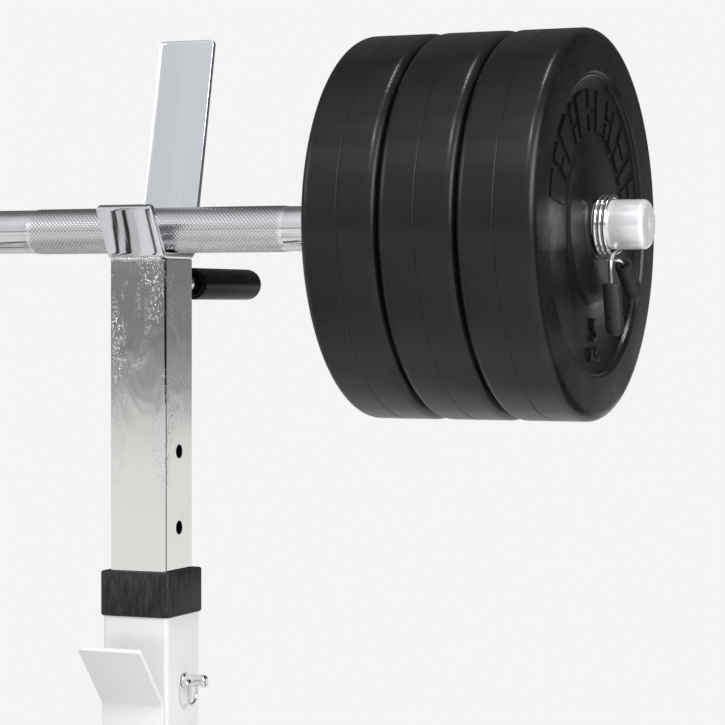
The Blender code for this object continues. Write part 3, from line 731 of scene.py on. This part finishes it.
def hexagon_bolt(name, place, turn, across_flats):
    """A bolt head with a washer under it, standing on the origin along +X before it is turned."""
    radius = across_flats / math.sqrt(3)
    height = across_flats * 0.42
    rim = across_flats * 0.62
    washer = turned([(0.0, rim), (0.0012, rim), (0.0012, 0.001), (0.0, 0.001)], 32)
    head = turned([(0.0012, radius * 0.97), (0.0016, radius), (height, radius),
                   (height + 0.0007, radius * 0.86), (height + 0.0007, 0.0005), (0.0012, 0.0005)], 6)
    mesh = bpy.data.meshes.new("head")
    head.to_mesh(mesh)
    head.free()
    washer.from_mesh(mesh)
    bolt = finish_mesh(name, moved(washer, place, turn), "satin_steel", 25.0)
    return soften(bolt, 0.0003, 2)


# ---------------- telescopes

def make_hook():
    """A short lip, a floor under the bar and a tall leaning guard, welded on the telescope."""
    floor = -GRIP_RADIUS - 0.0003 - HOOK_THICKNESS / 2
    corners = [(-0.0373, 0.0147), (-0.0197, floor), (0.0205, floor), (0.0517, 0.1269)]
    work = bent_plate(corners, HOOK_THICKNESS, 0.005, 2 * HALF_INNER)
    hook = finish_mesh("hook_plate", work, "brushed_chrome", 50.0)
    hook.data.transform(Matrix.Translation((UPRIGHT_X, BAR_Y, BAR_Z)))
    pair(hook, "telescope", "chrome", "hook")
    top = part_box("right_inner_tube")[1].z + 0.0001
    for name, y in (("front", -HALF_INNER + 0.0002), ("back", HALF_INNER - 0.0002)):
        reach = HALF_INNER - 0.0022
        line = [(UPRIGHT_X - reach + reach * k / 4, BAR_Y + y, top + 0.0002 * math.sin(2.1 * k))
                for k in range(9)]
        pair(weld_bead(f"hook_weld_{name}", line, 0.0014), "telescope", "chrome")


def make_inner_tube():
    low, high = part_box("right_inner_tube")
    tube = square_tube(HALF_INNER, 0.0028, 0.002, low.z, high.z)
    top_hole = BAR_Z - 0.1423
    cutters = []
    for step in range(7):
        hole = turned([(HALF_INNER - 0.004, 0.0045), (HALF_INNER + 0.004, 0.0045)], 32)
        cutters.append(moved(hole, (0.0, 0.0, top_hole - step * HOLE_PITCH)))
    tube = moved(cut(tube, cutters), (UPRIGHT_X, BAR_Y, 0.0))
    piece = soften(finish_mesh("telescope_tube", tube, "worn_chrome", 40.0), 0.0005, 2, 55.0)
    pair(piece, "telescope", "chrome", "inner_tube")


def make_handle():
    """A rod welded to the telescope's back, in a rubber sleeve with a domed end and an open mouth."""
    height = middle_of("right_handle_grip").z
    start = HALF_INNER + 0.0003
    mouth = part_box("right_handle_grip")[0].y - BAR_Y + 0.0028
    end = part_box("right_handle_grip")[1].y - BAR_Y
    rod_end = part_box("right_handle_rod")[1].y - BAR_Y
    backwards = Matrix.Rotation(math.radians(90), 4, "Z")
    place = (UPRIGHT_X, BAR_Y, height)
    rod = turned([(start, 0.0062), (rod_end - 0.0010, 0.0062), (rod_end, 0.0052)], 32)
    pair(finish_mesh("handle_bar", moved(rod, place, backwards), "bright_chrome"), "telescope", "chrome",
         "handle_rod")
    dome = end - 0.0095
    profile = [(rod_end + 0.0010, 0.0065), (mouth + 0.0022, 0.0065), (mouth + 0.0006, 0.0072),
               (mouth, 0.0084), (mouth + 0.0003, 0.0096), (mouth + 0.0014, 0.0105), (mouth + 0.0030, 0.0106)]
    profile += [(dome + x * 0.89, r) for x, r in arc((0.0, 0.0), 0.0106, 90, 6, 10)]
    grip = finish_mesh("handle_sleeve", moved(turned(profile, 48), place, backwards), "glossy_rubber", 60.0)
    pair(grip, "telescope", "black_rubber", "handle_grip")
    ring = [(UPRIGHT_X + 0.0066 * math.cos(a), BAR_Y + HALF_INNER + 0.0006, height + 0.0066 * math.sin(a))
            for a in [2 * math.pi * k / 14 for k in range(14)]]
    pair(weld_bead("handle_weld", ring, 0.0010, cyclic=True), "telescope", "chrome")


# ---------------- uprights, catches and pins

def make_uprights():
    low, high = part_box("right_upright")
    tube = square_tube(HALF_OUTER, 0.0030, 0.0018, low.z, high.z)
    hole = moved(turned([(HALF_OUTER - 0.005, 0.0043), (HALF_OUTER + 0.005, 0.0043)], 32), (0.0, 0.0, PIN_Z))
    tube = moved(cut(tube, [hole]), (UPRIGHT_X, BAR_Y, 0.0))
    piece = soften(finish_mesh("upright_tube", tube, "white_paint", 40.0), 0.0004, 2, 55.0)
    pair(piece, "frame", "white_paint", "upright")


def make_bushes():
    """A collar over each upright's mouth, with a skirt down between the two tubes."""
    low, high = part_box("right_upright_bush")
    half = (high.x - low.x) / 2
    over = HALF_OUTER + 0.0003
    bore = HALF_INNER + 0.0003
    bottom = high.z - 0.0287
    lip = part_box("right_upright")[1].z + 0.0003
    skirt = HALF_OUTER - 0.0021
    rings = [
        (half - 0.0010, 0.0030, high.z), (half - 0.0003, 0.0034, high.z - 0.0004),
        (half, 0.0036, high.z - 0.0011), (half, 0.0036, bottom + 0.0012),
        (half - 0.0004, 0.0034, bottom + 0.0004), (half - 0.0010, 0.0030, bottom),
        (over, 0.0030, bottom), (over, 0.0030, lip), (skirt, 0.0012, lip), (skirt, 0.0012, low.z),
        (bore, 0.0012, low.z), (bore, 0.0012, high.z - 0.0008), (bore + 0.0008, 0.0016, high.z),
    ]
    work = skin([rounded_square(*ring) for ring in rings], closed=True)
    bush = finish_mesh("guide_bush", moved(work, (UPRIGHT_X, BAR_Y, 0.0)), "streaked_plastic", 50.0)
    pair(bush, "frame", "black_plastic", "upright_bush")


def make_catches():
    """Bent plates welded on the uprights' fronts, whose lips would catch a dropped bar."""
    flange = -HALF_OUTER - 0.0003 - 0.0015
    corners = [(flange, -0.3850), (flange, -0.3021), (flange - 0.0320, -0.2641)]
    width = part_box("right_safety_catch")[1].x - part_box("right_safety_catch")[0].x
    work = bent_plate(corners, 0.003, 0.006, width, corner=0.0020)
    catch = finish_mesh("catch_plate", moved(work, (UPRIGHT_X, BAR_Y, BAR_Z)), "white_paint", 50.0)
    pair(catch, "frame", "white_paint", "safety_catch")
    front = BAR_Y - HALF_OUTER - 0.0012
    for number, side in enumerate((-1, 1)):
        x = UPRIGHT_X + side * (width / 2 - 0.0003)
        line = [(x, front, BAR_Z - 0.3180 - 0.0120 * k) for k in range(6)]
        pair(weld_bead(f"catch_weld_{number + 1}", line, 0.0014, "white_paint"), "frame", "white_paint")


def make_lock_pins():
    """A pin through the upright with a shoulder, and a ring through the eye in its end."""
    tip = HALF_INNER - HALF_OUTER + 0.0003
    eye = 0.0056
    profile = [(tip, 0.0028), (tip + 0.0008, 0.0039), (0.0004, 0.0039), (0.0004, 0.0046), (0.0007, 0.0049),
               (0.0015, 0.0049), (0.0018, 0.0046), (0.0018, 0.0039), (0.0150, 0.0039), (0.0158, 0.0036),
               (0.0164, 0.0029), (0.0166, 0.0018)]
    place = (UPRIGHT_X + HALF_OUTER, BAR_Y, PIN_Z)
    hole = turned([(-0.006, 0.0016), (0.006, 0.0016)], 24)
    hole = moved(hole, (eye, 0.0, 0.0), Matrix.Rotation(math.radians(90), 4, "Z"))
    pin = finish_mesh("pull_pin", moved(cut(turned(profile, 40), [hole]), place), "bright_chrome", 40.0)
    pair(soften(pin, 0.0002, 2, 50.0), "pin", "chrome", "lock_pin")
    x = place[0] + eye
    half, drop, corner = 0.0070, 0.0080, 0.0022
    right = [(x, BAR_Y + half - corner * (1 - math.sin(a)), PIN_Z - corner * (1 - math.cos(a)))
             for a in [math.pi * k / 12 for k in range(7)]]
    bottom = [(x, BAR_Y + half * math.cos(a), PIN_Z - drop - half * math.sin(a))
              for a in [math.pi * k / 20 for k in range(21)]]
    left = [(a, 2 * BAR_Y - b, c) for a, b, c in right[::-1]]
    pair(wire("pull_ring", right + bottom + left, 0.0009, "bright_chrome", cyclic=True), "ring", "chrome",
         "pin_ring")


# ---------------- barbell

def knurl(name, start, end):
    """A sleeve of small diamonds, cut by two crossing sets of helical grooves."""
    around = 34
    pitch = 0.0026
    columns = around * 4
    rows = round((end - start) / (pitch / 4))
    depth = 0.00070
    rings = []
    ridges = []
    for row in range(rows + 1):
        x = start + (end - start) * row / rows
        fade = min(1.0, row / 6, (rows - row) / 6)
        ring = []
        for column in range(columns):
            first = (row + column) / 4 % 1.0
            second = (row - column) / 4 % 1.0
            height = min(abs(2 * first - 1), abs(2 * second - 1), 0.8)
            radius = GRIP_RADIUS + 0.00003 + depth * height * fade
            angle = 2 * math.pi * column / columns
            ring.append((x, BAR_Y + radius * math.cos(angle), BAR_Z + radius * math.sin(angle)))
            ridges.append(height * fade + 0.8 * (1 - fade))
        rings.append(ring)
    sleeve = finish_mesh(name, skin(rings, closed=False), "knurled_chrome", 60.0)
    # the ridge heights drive the painted shade in the grooves
    sleeve.data.attributes.new("ridge", "FLOAT", "POINT").data.foreach_set("value", ridges)
    return sleeve


def make_bar():
    stop_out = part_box("right_plate_1")[0].x - 0.0003
    stop_in = stop_out - STOP_WIDTH
    end = [(HALF_BAR - 0.0016, 0.0002), (HALF_BAR - 0.0014, 0.0018), (HALF_BAR - 0.0004, 0.0030),
           (HALF_BAR, 0.0042), (HALF_BAR, 0.0112)]
    end += [(HALF_BAR - 0.0036 + 0.0036 * math.cos(a), 0.0114 + 0.0036 * math.sin(a))
            for a in [math.radians(d) for d in range(15, 91, 15)]]
    end += [(COLLAR_X, SLEEVE_RADIUS), (stop_out, SLEEVE_RADIUS), (stop_out, STOP_RADIUS - 0.0010),
            (stop_out - 0.0010, STOP_RADIUS), (stop_in + 0.0010, STOP_RADIUS),
            (stop_in, STOP_RADIUS - 0.0010), (stop_in, GRIP_RADIUS)]
    profile = [(-x, r) for x, r in end] + end[::-1]
    shaft = finish_mesh("bar_rod", moved(turned(profile, 72), (0.0, BAR_Y, BAR_Z)), "bright_chrome", 40.0)
    shaft.data.materials.append(LOOKS["machined_end"])
    for face in shaft.data.polygons:
        if abs(face.center.x) > COLLAR_X:
            face.material_index = 1
    settle(shaft, "barbell", "chrome", "bar_shaft")
    pair(knurl("bar_knurl", UPRIGHT_X + KNURL_FROM, UPRIGHT_X + KNURL_TO), "barbell", "chrome")
    pair(knurl("hand_knurl", 0.150, 0.330), "barbell", "chrome")


def plate_profile():
    """One face of a plate from the bore to the rim, as (distance from the middle, radius)."""
    half = PLATE_HALF
    edge = 0.0062
    face = [(half - 0.0006, 0.0156), (half, 0.0162), (half, 0.0203)]
    for depth, radius in ((0.0003, 0.0210), (0.0017, 0.0222), (0.0020, 0.0232), (0.0020, 0.0462),
                          (0.0022, 0.0474), (0.0036, 0.0490), (0.0040, 0.0502), (0.0040, 0.0878),
                          (0.0036, 0.0888), (0.0016, 0.0894), (0.0012, 0.0902), (0.0014, 0.0911),
                          (0.0006, 0.0917), (0.0, 0.0924), (0.0, PLATE_RADIUS - edge - 0.0003)):
        face.append((half - depth, radius))
    face += [(half - edge + edge * math.sin(a), PLATE_RADIUS - edge + edge * math.cos(a))
             for a in [math.radians(90 - 10 * k) for k in range(1, 10)]]
    face += [(0.0006, PLATE_RADIUS), (0.0002, PLATE_RADIUS - 0.0003)]
    return face


def raised_blocks():
    """Rounded blocks on the sunk ring of a plate's face, standing where lettering usually is."""
    inner, outer = 0.0565, 0.0815
    base = PLATE_HALF - 0.0042
    top = PLATE_HALF - 0.0027
    widths = (12.0, 5.0, 12.0, 8.0, 5.0, 12.0, 8.0, 12.0, 5.0, 12.0, 8.0, 12.0)
    gap = 4.4
    total = sum(widths) + gap * (len(widths) - 1)
    angle = 90 - total / 2
    work = bmesh.new()
    for number, width in enumerate(widths):
        slots = ((inner, outer),) if number % 2 else ((inner, 0.0668), (0.0708, outer))
        for low, high in slots:
            centre = (0.0, 0.0)
            outline = arc(centre, high, angle, angle + width, 4) + arc(centre, low, angle + width, angle, 4)
            lower = [work.verts.new((base, y, z)) for y, z in outline]
            upper = [work.verts.new((top, y, z)) for y, z in outline]
            work.faces.new(upper)
            for i in range(len(outline)):
                j = (i + 1) % len(outline)
                work.faces.new((lower[i], lower[j], upper[j], upper[i]))
            work.faces.new(lower[::-1])
        angle += width + gap
    return work


def number_mesh(text, size, height):
    """Raised characters from the built-in font, upright, facing +X."""
    curve = bpy.data.curves.new("number", "FONT")
    curve.body = text
    curve.size = size
    curve.align_x = "CENTER"
    curve.align_y = "CENTER"
    curve.extrude = 0.0009
    curve.bevel_depth = 0.0003
    helper = placed("number", curve)
    bpy.context.view_layer.update()
    work = bmesh.new()
    mesh = helper.to_mesh()
    work.from_mesh(mesh)
    helper.to_mesh_clear()
    bpy.data.objects.remove(helper, do_unlink=True)
    bmesh.ops.remove_doubles(work, verts=work.verts, dist=0.00001)
    stand = Matrix(((0, 0, 1, 0), (1, 0, 0, 0), (0, 1, 0, 0), (0, 0, 0, 1)))
    return moved(work, (PLATE_HALF - 0.0034, 0.0, height), stand)


def make_plates():
    """Three weights a side, with the same face outwards and inwards and each turned differently."""
    one_face = plate_profile()
    profile = one_face + [(-x, r) for x, r in one_face[::-1]]
    body = turned(profile, 144, closed=True)
    about = Matrix.Rotation(math.pi, 4, "Z")
    parts = []
    for turn in (None, about):
        parts += [moved(raised_blocks(), (0.0, 0.0, 0.0), turn),
                  moved(number_mesh("5", 0.0190, -0.0640), (0.0, 0.0, 0.0), turn),
                  moved(number_mesh("KG", 0.0115, -0.0785), (0.0, 0.0, 0.0), turn)]
    holder = bpy.data.meshes.new("holder")
    for part in parts:
        bmesh.ops.recalc_face_normals(part, faces=part.faces)
        part.to_mesh(holder)
        part.free()
        body.from_mesh(holder)
    master = finish_mesh("plate", body, "plate_plastic", 32.0)
    for side, turn in (("right", Matrix.Identity(4)), ("left", about)):
        for number, degrees in ((1, 37), (2, 141), (3, 0)):
            node = f"{side}_plate_{number}"
            spin = Matrix.Rotation(math.radians(degrees), 4, "X")
            mesh = master.data.copy()
            mesh.transform(turn @ spin)
            plate = placed(f"{side}_weight_plate_{number}", mesh)
            plate.location = middle_of(node)
            settle(plate, f"{side}_weight_{number}", "plate_plastic", node)
    bpy.data.objects.remove(master, do_unlink=True)


def coil_points():
    """The windings round the bar, and the corners of the arm that leads down from them."""
    coil_radius, pitch, turns, steps = 0.0168, 0.0030, 3, 120
    points = []
    for step in range(steps + 1):
        angle = math.radians(-90) - 2 * math.pi * turns * step / steps
        points.append((0.0017 + pitch * turns * step / steps,
                       coil_radius * math.cos(angle), coil_radius * math.sin(angle)))
    arm = [(0.0107, 0.0000, -0.0168), (0.0108, -0.0045, -0.0180), (0.0108, -0.0085, -0.0215),
           (0.0106, -0.0101, -0.0270), (0.0126, -0.0087, -0.0600)]
    return points, arm


def spring_sleeve(name, start, end, nudge):
    """A soft sleeve over a spring arm, open at its mouth and domed at its end."""
    profile = [(0.0272, 0.0018), (0.0012, 0.0018), (0.0004, 0.0024), (0.0002, 0.0046), (0.0008, 0.0053),
               (0.0018, 0.0055), (0.0262, 0.0056)]
    profile += [(0.0264 + x, r) for x, r in arc((0.0, 0.0), 0.0056, 80, 10, 7)]
    along = (Vector(end) - Vector(start)).normalized()
    turn = Vector((1, 0, 0)).rotation_difference(along).to_matrix().to_4x4()
    place = Vector((COLLAR_X, BAR_Y, BAR_Z)) + Vector(start) + along * nudge
    return finish_mesh(name, moved(turned(profile, 32), place, turn), "matt_vinyl", 50.0)


def make_spring_collars():
    base = Vector((COLLAR_X, BAR_Y, BAR_Z))
    windings, arm = coil_points()
    path = [base + Vector(p) for p in windings[:-1] + smooth_path(arm, 8)]
    pair(wire("spring_wire", path, WIRE_RADIUS, "bright_chrome"), "collar", "chrome", "spring_coil")
    start, end = arm[-2], arm[-1]
    nudge = 0.24 * (Vector(end) - Vector(start)).length
    pair(spring_sleeve("front_sleeve", start, end, nudge), "collar", "black_plastic", "front_spring_grip")
    lever = [(0.0017, 0.0008, -0.0200), (0.0025, 0.0060, -0.0200), (0.0060, 0.0135, -0.0206),
             (0.0090, 0.0200, -0.0234), (0.0090, 0.0400, -0.0389)]
    path = [base + Vector(p) for p in smooth_path(lever, 8)]
    pair(wire("lever_wire", path, WIRE_RADIUS, "bright_chrome"), "lever", "chrome", "spring_arm")
    sleeve = spring_sleeve("rear_sleeve", lever[-2], lever[-1], 0.0)
    pair(sleeve, "lever", "black_plastic", "rear_spring_grip")


# ---------------- bench and frame

def refine(node, name, look, slot, body="frame", width=0.0006, segments=3, angle=50.0):
    """A finished piece from a CAD node: its flat faces joined again and its edges rounded."""
    work = bmesh.new()
    work.from_mesh(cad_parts[node].data)
    bmesh.ops.remove_doubles(work, verts=work.verts, dist=0.00001)
    bmesh.ops.dissolve_limit(work, angle_limit=math.radians(0.5), verts=work.verts, edges=work.edges)
    piece = soften(finish_mesh(name, work, look, 46.0), width, segments, angle)
    return settle(piece, body, slot, node)


def make_frame():
    for side in ("right", "left"):
        refine(f"{side}_foot_tube", f"{side}_floor_tube", "white_paint", "white_paint")
        for node, name in ((f"{side}_rear_foot_cap", f"{side}_rear_shoe"),
                           (f"{side}_front_foot_cap", f"{side}_front_shoe"),
                           (f"front_foot_{side}_cap", f"front_{side}_shoe")):
            refine(node, name, "foot_rubber", "black_rubber", width=0.0015)
    for node, name in (("cross_tube", "cross_member"), ("beam", "bench_beam"), ("front_post", "front_leg"),
                       ("front_foot_tube", "front_floor_tube"), ("seat_saddle", "seat_bracket"),
                       ("hinge_bracket", "hinge_yoke"), ("incline_pin_bracket", "pin_housing")):
        refine(node, name, "white_paint", "white_paint")
    refine("back_arm", "back_tube", "white_paint", "white_paint", "backrest")
    refine("incline_sector", "incline_quadrant", "white_paint", "white_paint", "backrest")
    for end in ("rear", "front"):
        refine(f"beam_{end}_cap", f"beam_{end}_plug", "foot_rubber", "black_plastic", width=0.0010)
    refine("arm_rest_pad", "back_buffer", "foot_rubber", "black_rubber", width=0.0004)
    refine("hinge_bolt", "hinge_pin", "satin_steel", "zinc", width=0.0004, segments=2, angle=35.0)
    refine("incline_pin", "incline_plunger_rod", "bright_chrome", "chrome", "incline_plunger", 0.0002)
    refine("incline_knob", "incline_pull_knob", "matt_vinyl", "black_plastic", "incline_plunger", 0.0012)


def tube_weld(name, x, y, height):
    """A painted bead round the foot or the top of an upright tube."""
    reach = HALF_OUTER + 0.0004
    places = ((1, -0.8), (1, 0.8), (0.8, 1), (-0.8, 1), (-1, 0.8), (-1, -0.8), (-0.8, -1), (0.8, -1))
    ring = [(x + across * reach, y + along * reach, height) for across, along in places]
    return weld_bead(name, ring, 0.0022, "white_paint", cyclic=True)


def make_frame_welds():
    foot_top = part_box("right_upright")[0].z
    pair(tube_weld("upright_weld", UPRIGHT_X, BAR_Y, foot_top), "frame", "white_paint")
    low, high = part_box("front_post")
    centre = middle_of("front_post")
    for name, height in (("post_foot_weld", low.z), ("post_beam_weld", high.z)):
        settle(tube_weld(name, centre.x, centre.y, height), "frame", "white_paint")


def make_bolts():
    """Bolts through the cross tube's flanges and under the seat board."""
    middle = middle_of("cross_tube").z
    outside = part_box("right_upright")[1].x + 0.0002
    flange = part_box("cross_tube")[1].x - 0.004 - 0.0002
    facing_in = Matrix.Rotation(math.pi, 4, "Z")
    for kind, x, turn in (("bolt", outside, None), ("nut", flange, facing_in)):
        for number, height in ((1, middle - 0.036), (2, middle + 0.036)):
            pair(hexagon_bolt(f"cross_{kind}_{number}", (x, BAR_Y, height), turn, 0.013), "frame", "zinc")
    downwards = Matrix.Rotation(math.radians(90), 4, "Y")
    low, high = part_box("seat_saddle")
    under = high.z - 0.004 - 0.0002
    for number, y in enumerate((low.y + 0.025, high.y - 0.025)):
        bolt = hexagon_bolt(f"seat_bolt_{number + 1}", (0.082, y, under), downwards, 0.010)
        pair(bolt, "frame", "zinc")


def make_boards():
    refine("seat_board", "seat_plywood", "plywood", "board_wood", "frame", 0.0008)
    refine("back_board", "back_plywood", "plywood", "board_wood", "backrest", 0.0008)


def stuffed(name, node, body):
    """A pad swollen by cloth simulation from a block a little smaller than its node, flat on its board."""
    low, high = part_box(node)
    inset = Vector((0.006, 0.006, 0.0))
    size = high - low - 2 * inset - Vector((0.0, 0.0, 0.006))
    work = bmesh.new()
    bmesh.ops.create_cube(work, size=1.0)
    bmesh.ops.scale(work, vec=size, verts=work.verts)
    bmesh.ops.bevel(work, geom=work.edges[:], offset=0.012, segments=4, profile=0.5, affect="EDGES")
    centre = (low + high) / 2
    moved(work, (centre.x, centre.y, low.z + size.z / 2))
    pad = finish_mesh(name, work, "pad_leather", 180.0)
    remesh = pad.modifiers.new("remesh", "REMESH")
    remesh.mode = "VOXEL"
    remesh.voxel_size = 0.006
    remesh.use_smooth_shade = True
    bake(pad)
    swell(pad, low.z + 0.010, 0.010)
    for vertex in pad.data.vertices:
        for axis in range(3):
            vertex.co[axis] = min(max(vertex.co[axis], low[axis]), high[axis])
    smooth = pad.modifiers.new("smooth", "SUBSURF")
    smooth.levels = smooth.render_levels = 1
    settle(pad, body, "black_leather", node)
    return pad


def bake(piece):
    """Applies a piece's modifiers to its mesh."""
    bpy.context.view_layer.update()
    graph = bpy.context.evaluated_depsgraph_get()
    mesh = bpy.data.meshes.new_from_object(piece.evaluated_get(graph), depsgraph=graph)
    old = piece.data
    piece.modifiers.clear()
    piece.data = mesh
    bpy.data.meshes.remove(old)


def swell(pad, held_below, most):
    """Inflates a pad as cloth. Its base is held, and no point moves farther than the given way."""
    rest = [vertex.co.copy() for vertex in pad.data.vertices]
    group = pad.vertex_groups.new(name="held")
    group.add([v.index for v in pad.data.vertices if v.co.z < held_below], 1.0, "REPLACE")
    cloth = pad.modifiers.new("cloth", "CLOTH")
    settings = cloth.settings
    settings.use_pressure = True
    settings.uniform_pressure_force = 4.0
    settings.effector_weights.gravity = 0.0
    settings.vertex_group_mass = "held"
    settings.tension_stiffness = 25.0
    settings.bending_stiffness = 4.0
    cloth.collision_settings.use_collision = False
    cloth.point_cache.frame_end = 20
    for number in range(1, 21):
        bpy.context.scene.frame_set(number)
    bake(pad)
    bpy.context.scene.frame_set(1)
    for vertex, before in zip(pad.data.vertices, rest):
        way = vertex.co - before
        if way.length > most:
            vertex.co = before + way.normalized() * most


def seam_rays(half_x, half_y):
    """(place, outwards) pairs round a rectangle whose corners are turned through in nine steps."""
    corners = [Vector((x * half_x, y * half_y, 0.0)) for x, y in QUARTERS]
    rays = []
    for number, corner in enumerate(corners):
        for step in range(9):
            angle = math.radians(90 * number + 90 * step / 8)
            outwards = Vector((math.cos(angle), math.sin(angle), 0.0))
            rays.append((corner, outwards))
        steps = 14 if number % 2 else 8
        for step in range(1, steps):
            rays.append((corner.lerp(corners[(number + 1) % 4], step / steps), outwards))
    return rays


def make_seam(pad, name, node, body, height):
    """Piping round a pad where its top panel is sewn to its sides."""
    low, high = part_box(node)
    tree = BVHTree.FromObject(pad, bpy.context.evaluated_depsgraph_get())
    half = (high - low) / 2
    middle = Vector((low.x + half.x, low.y + half.y, height))
    points = []
    for place, outwards in seam_rays(half.x - 0.030, half.y - 0.030):
        hit = tree.ray_cast(middle + place + outwards * 0.08, -outwards)[0]
        if hit:
            points.append(hit + outwards * 0.0001)
    path = smooth_path(points, 3, cyclic=True)
    settle(wire(name, path, 0.0016, "pad_leather", cyclic=True), body, "black_leather")


def make_pads():
    for node, name, body in (("seat_pad", "seat_cushion", "frame"), ("back_pad", "back_cushion", "backrest")):
        pad = stuffed(name, node, body)
        bpy.context.view_layer.update()
        make_seam(pad, f"{name}_piping", node, body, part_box(node)[1].z - SEAM_DROP)


def make_floor():
    work = bmesh.new()
    bmesh.ops.create_circle(work, cap_ends=True, radius=4.3, segments=128)
    floor = finish_mesh("floor", moved(work, (0.0, 0.0, -0.0004)), "studio_floor")


def main():
    bpy.context.scene.view_settings.view_transform = "Standard"
    make_camera()
    make_world()
    make_lamps()
    make_looks()
    make_floor()
    make_flags()
    make_hook()
    make_inner_tube()
    make_handle()
    make_uprights()
    make_bushes()
    make_catches()
    make_lock_pins()
    make_bar()
    make_plates()
    make_spring_collars()
    make_frame()
    make_frame_welds()
    make_bolts()
    make_boards()
    make_pads()
    for name in ("seat_cushion", "back_cushion", "seat_plywood", "back_plywood", "bench_beam", "back_tube"):
        bpy.data.objects[name].visible_glossy = False    # the plating mirrors the open floor


main()
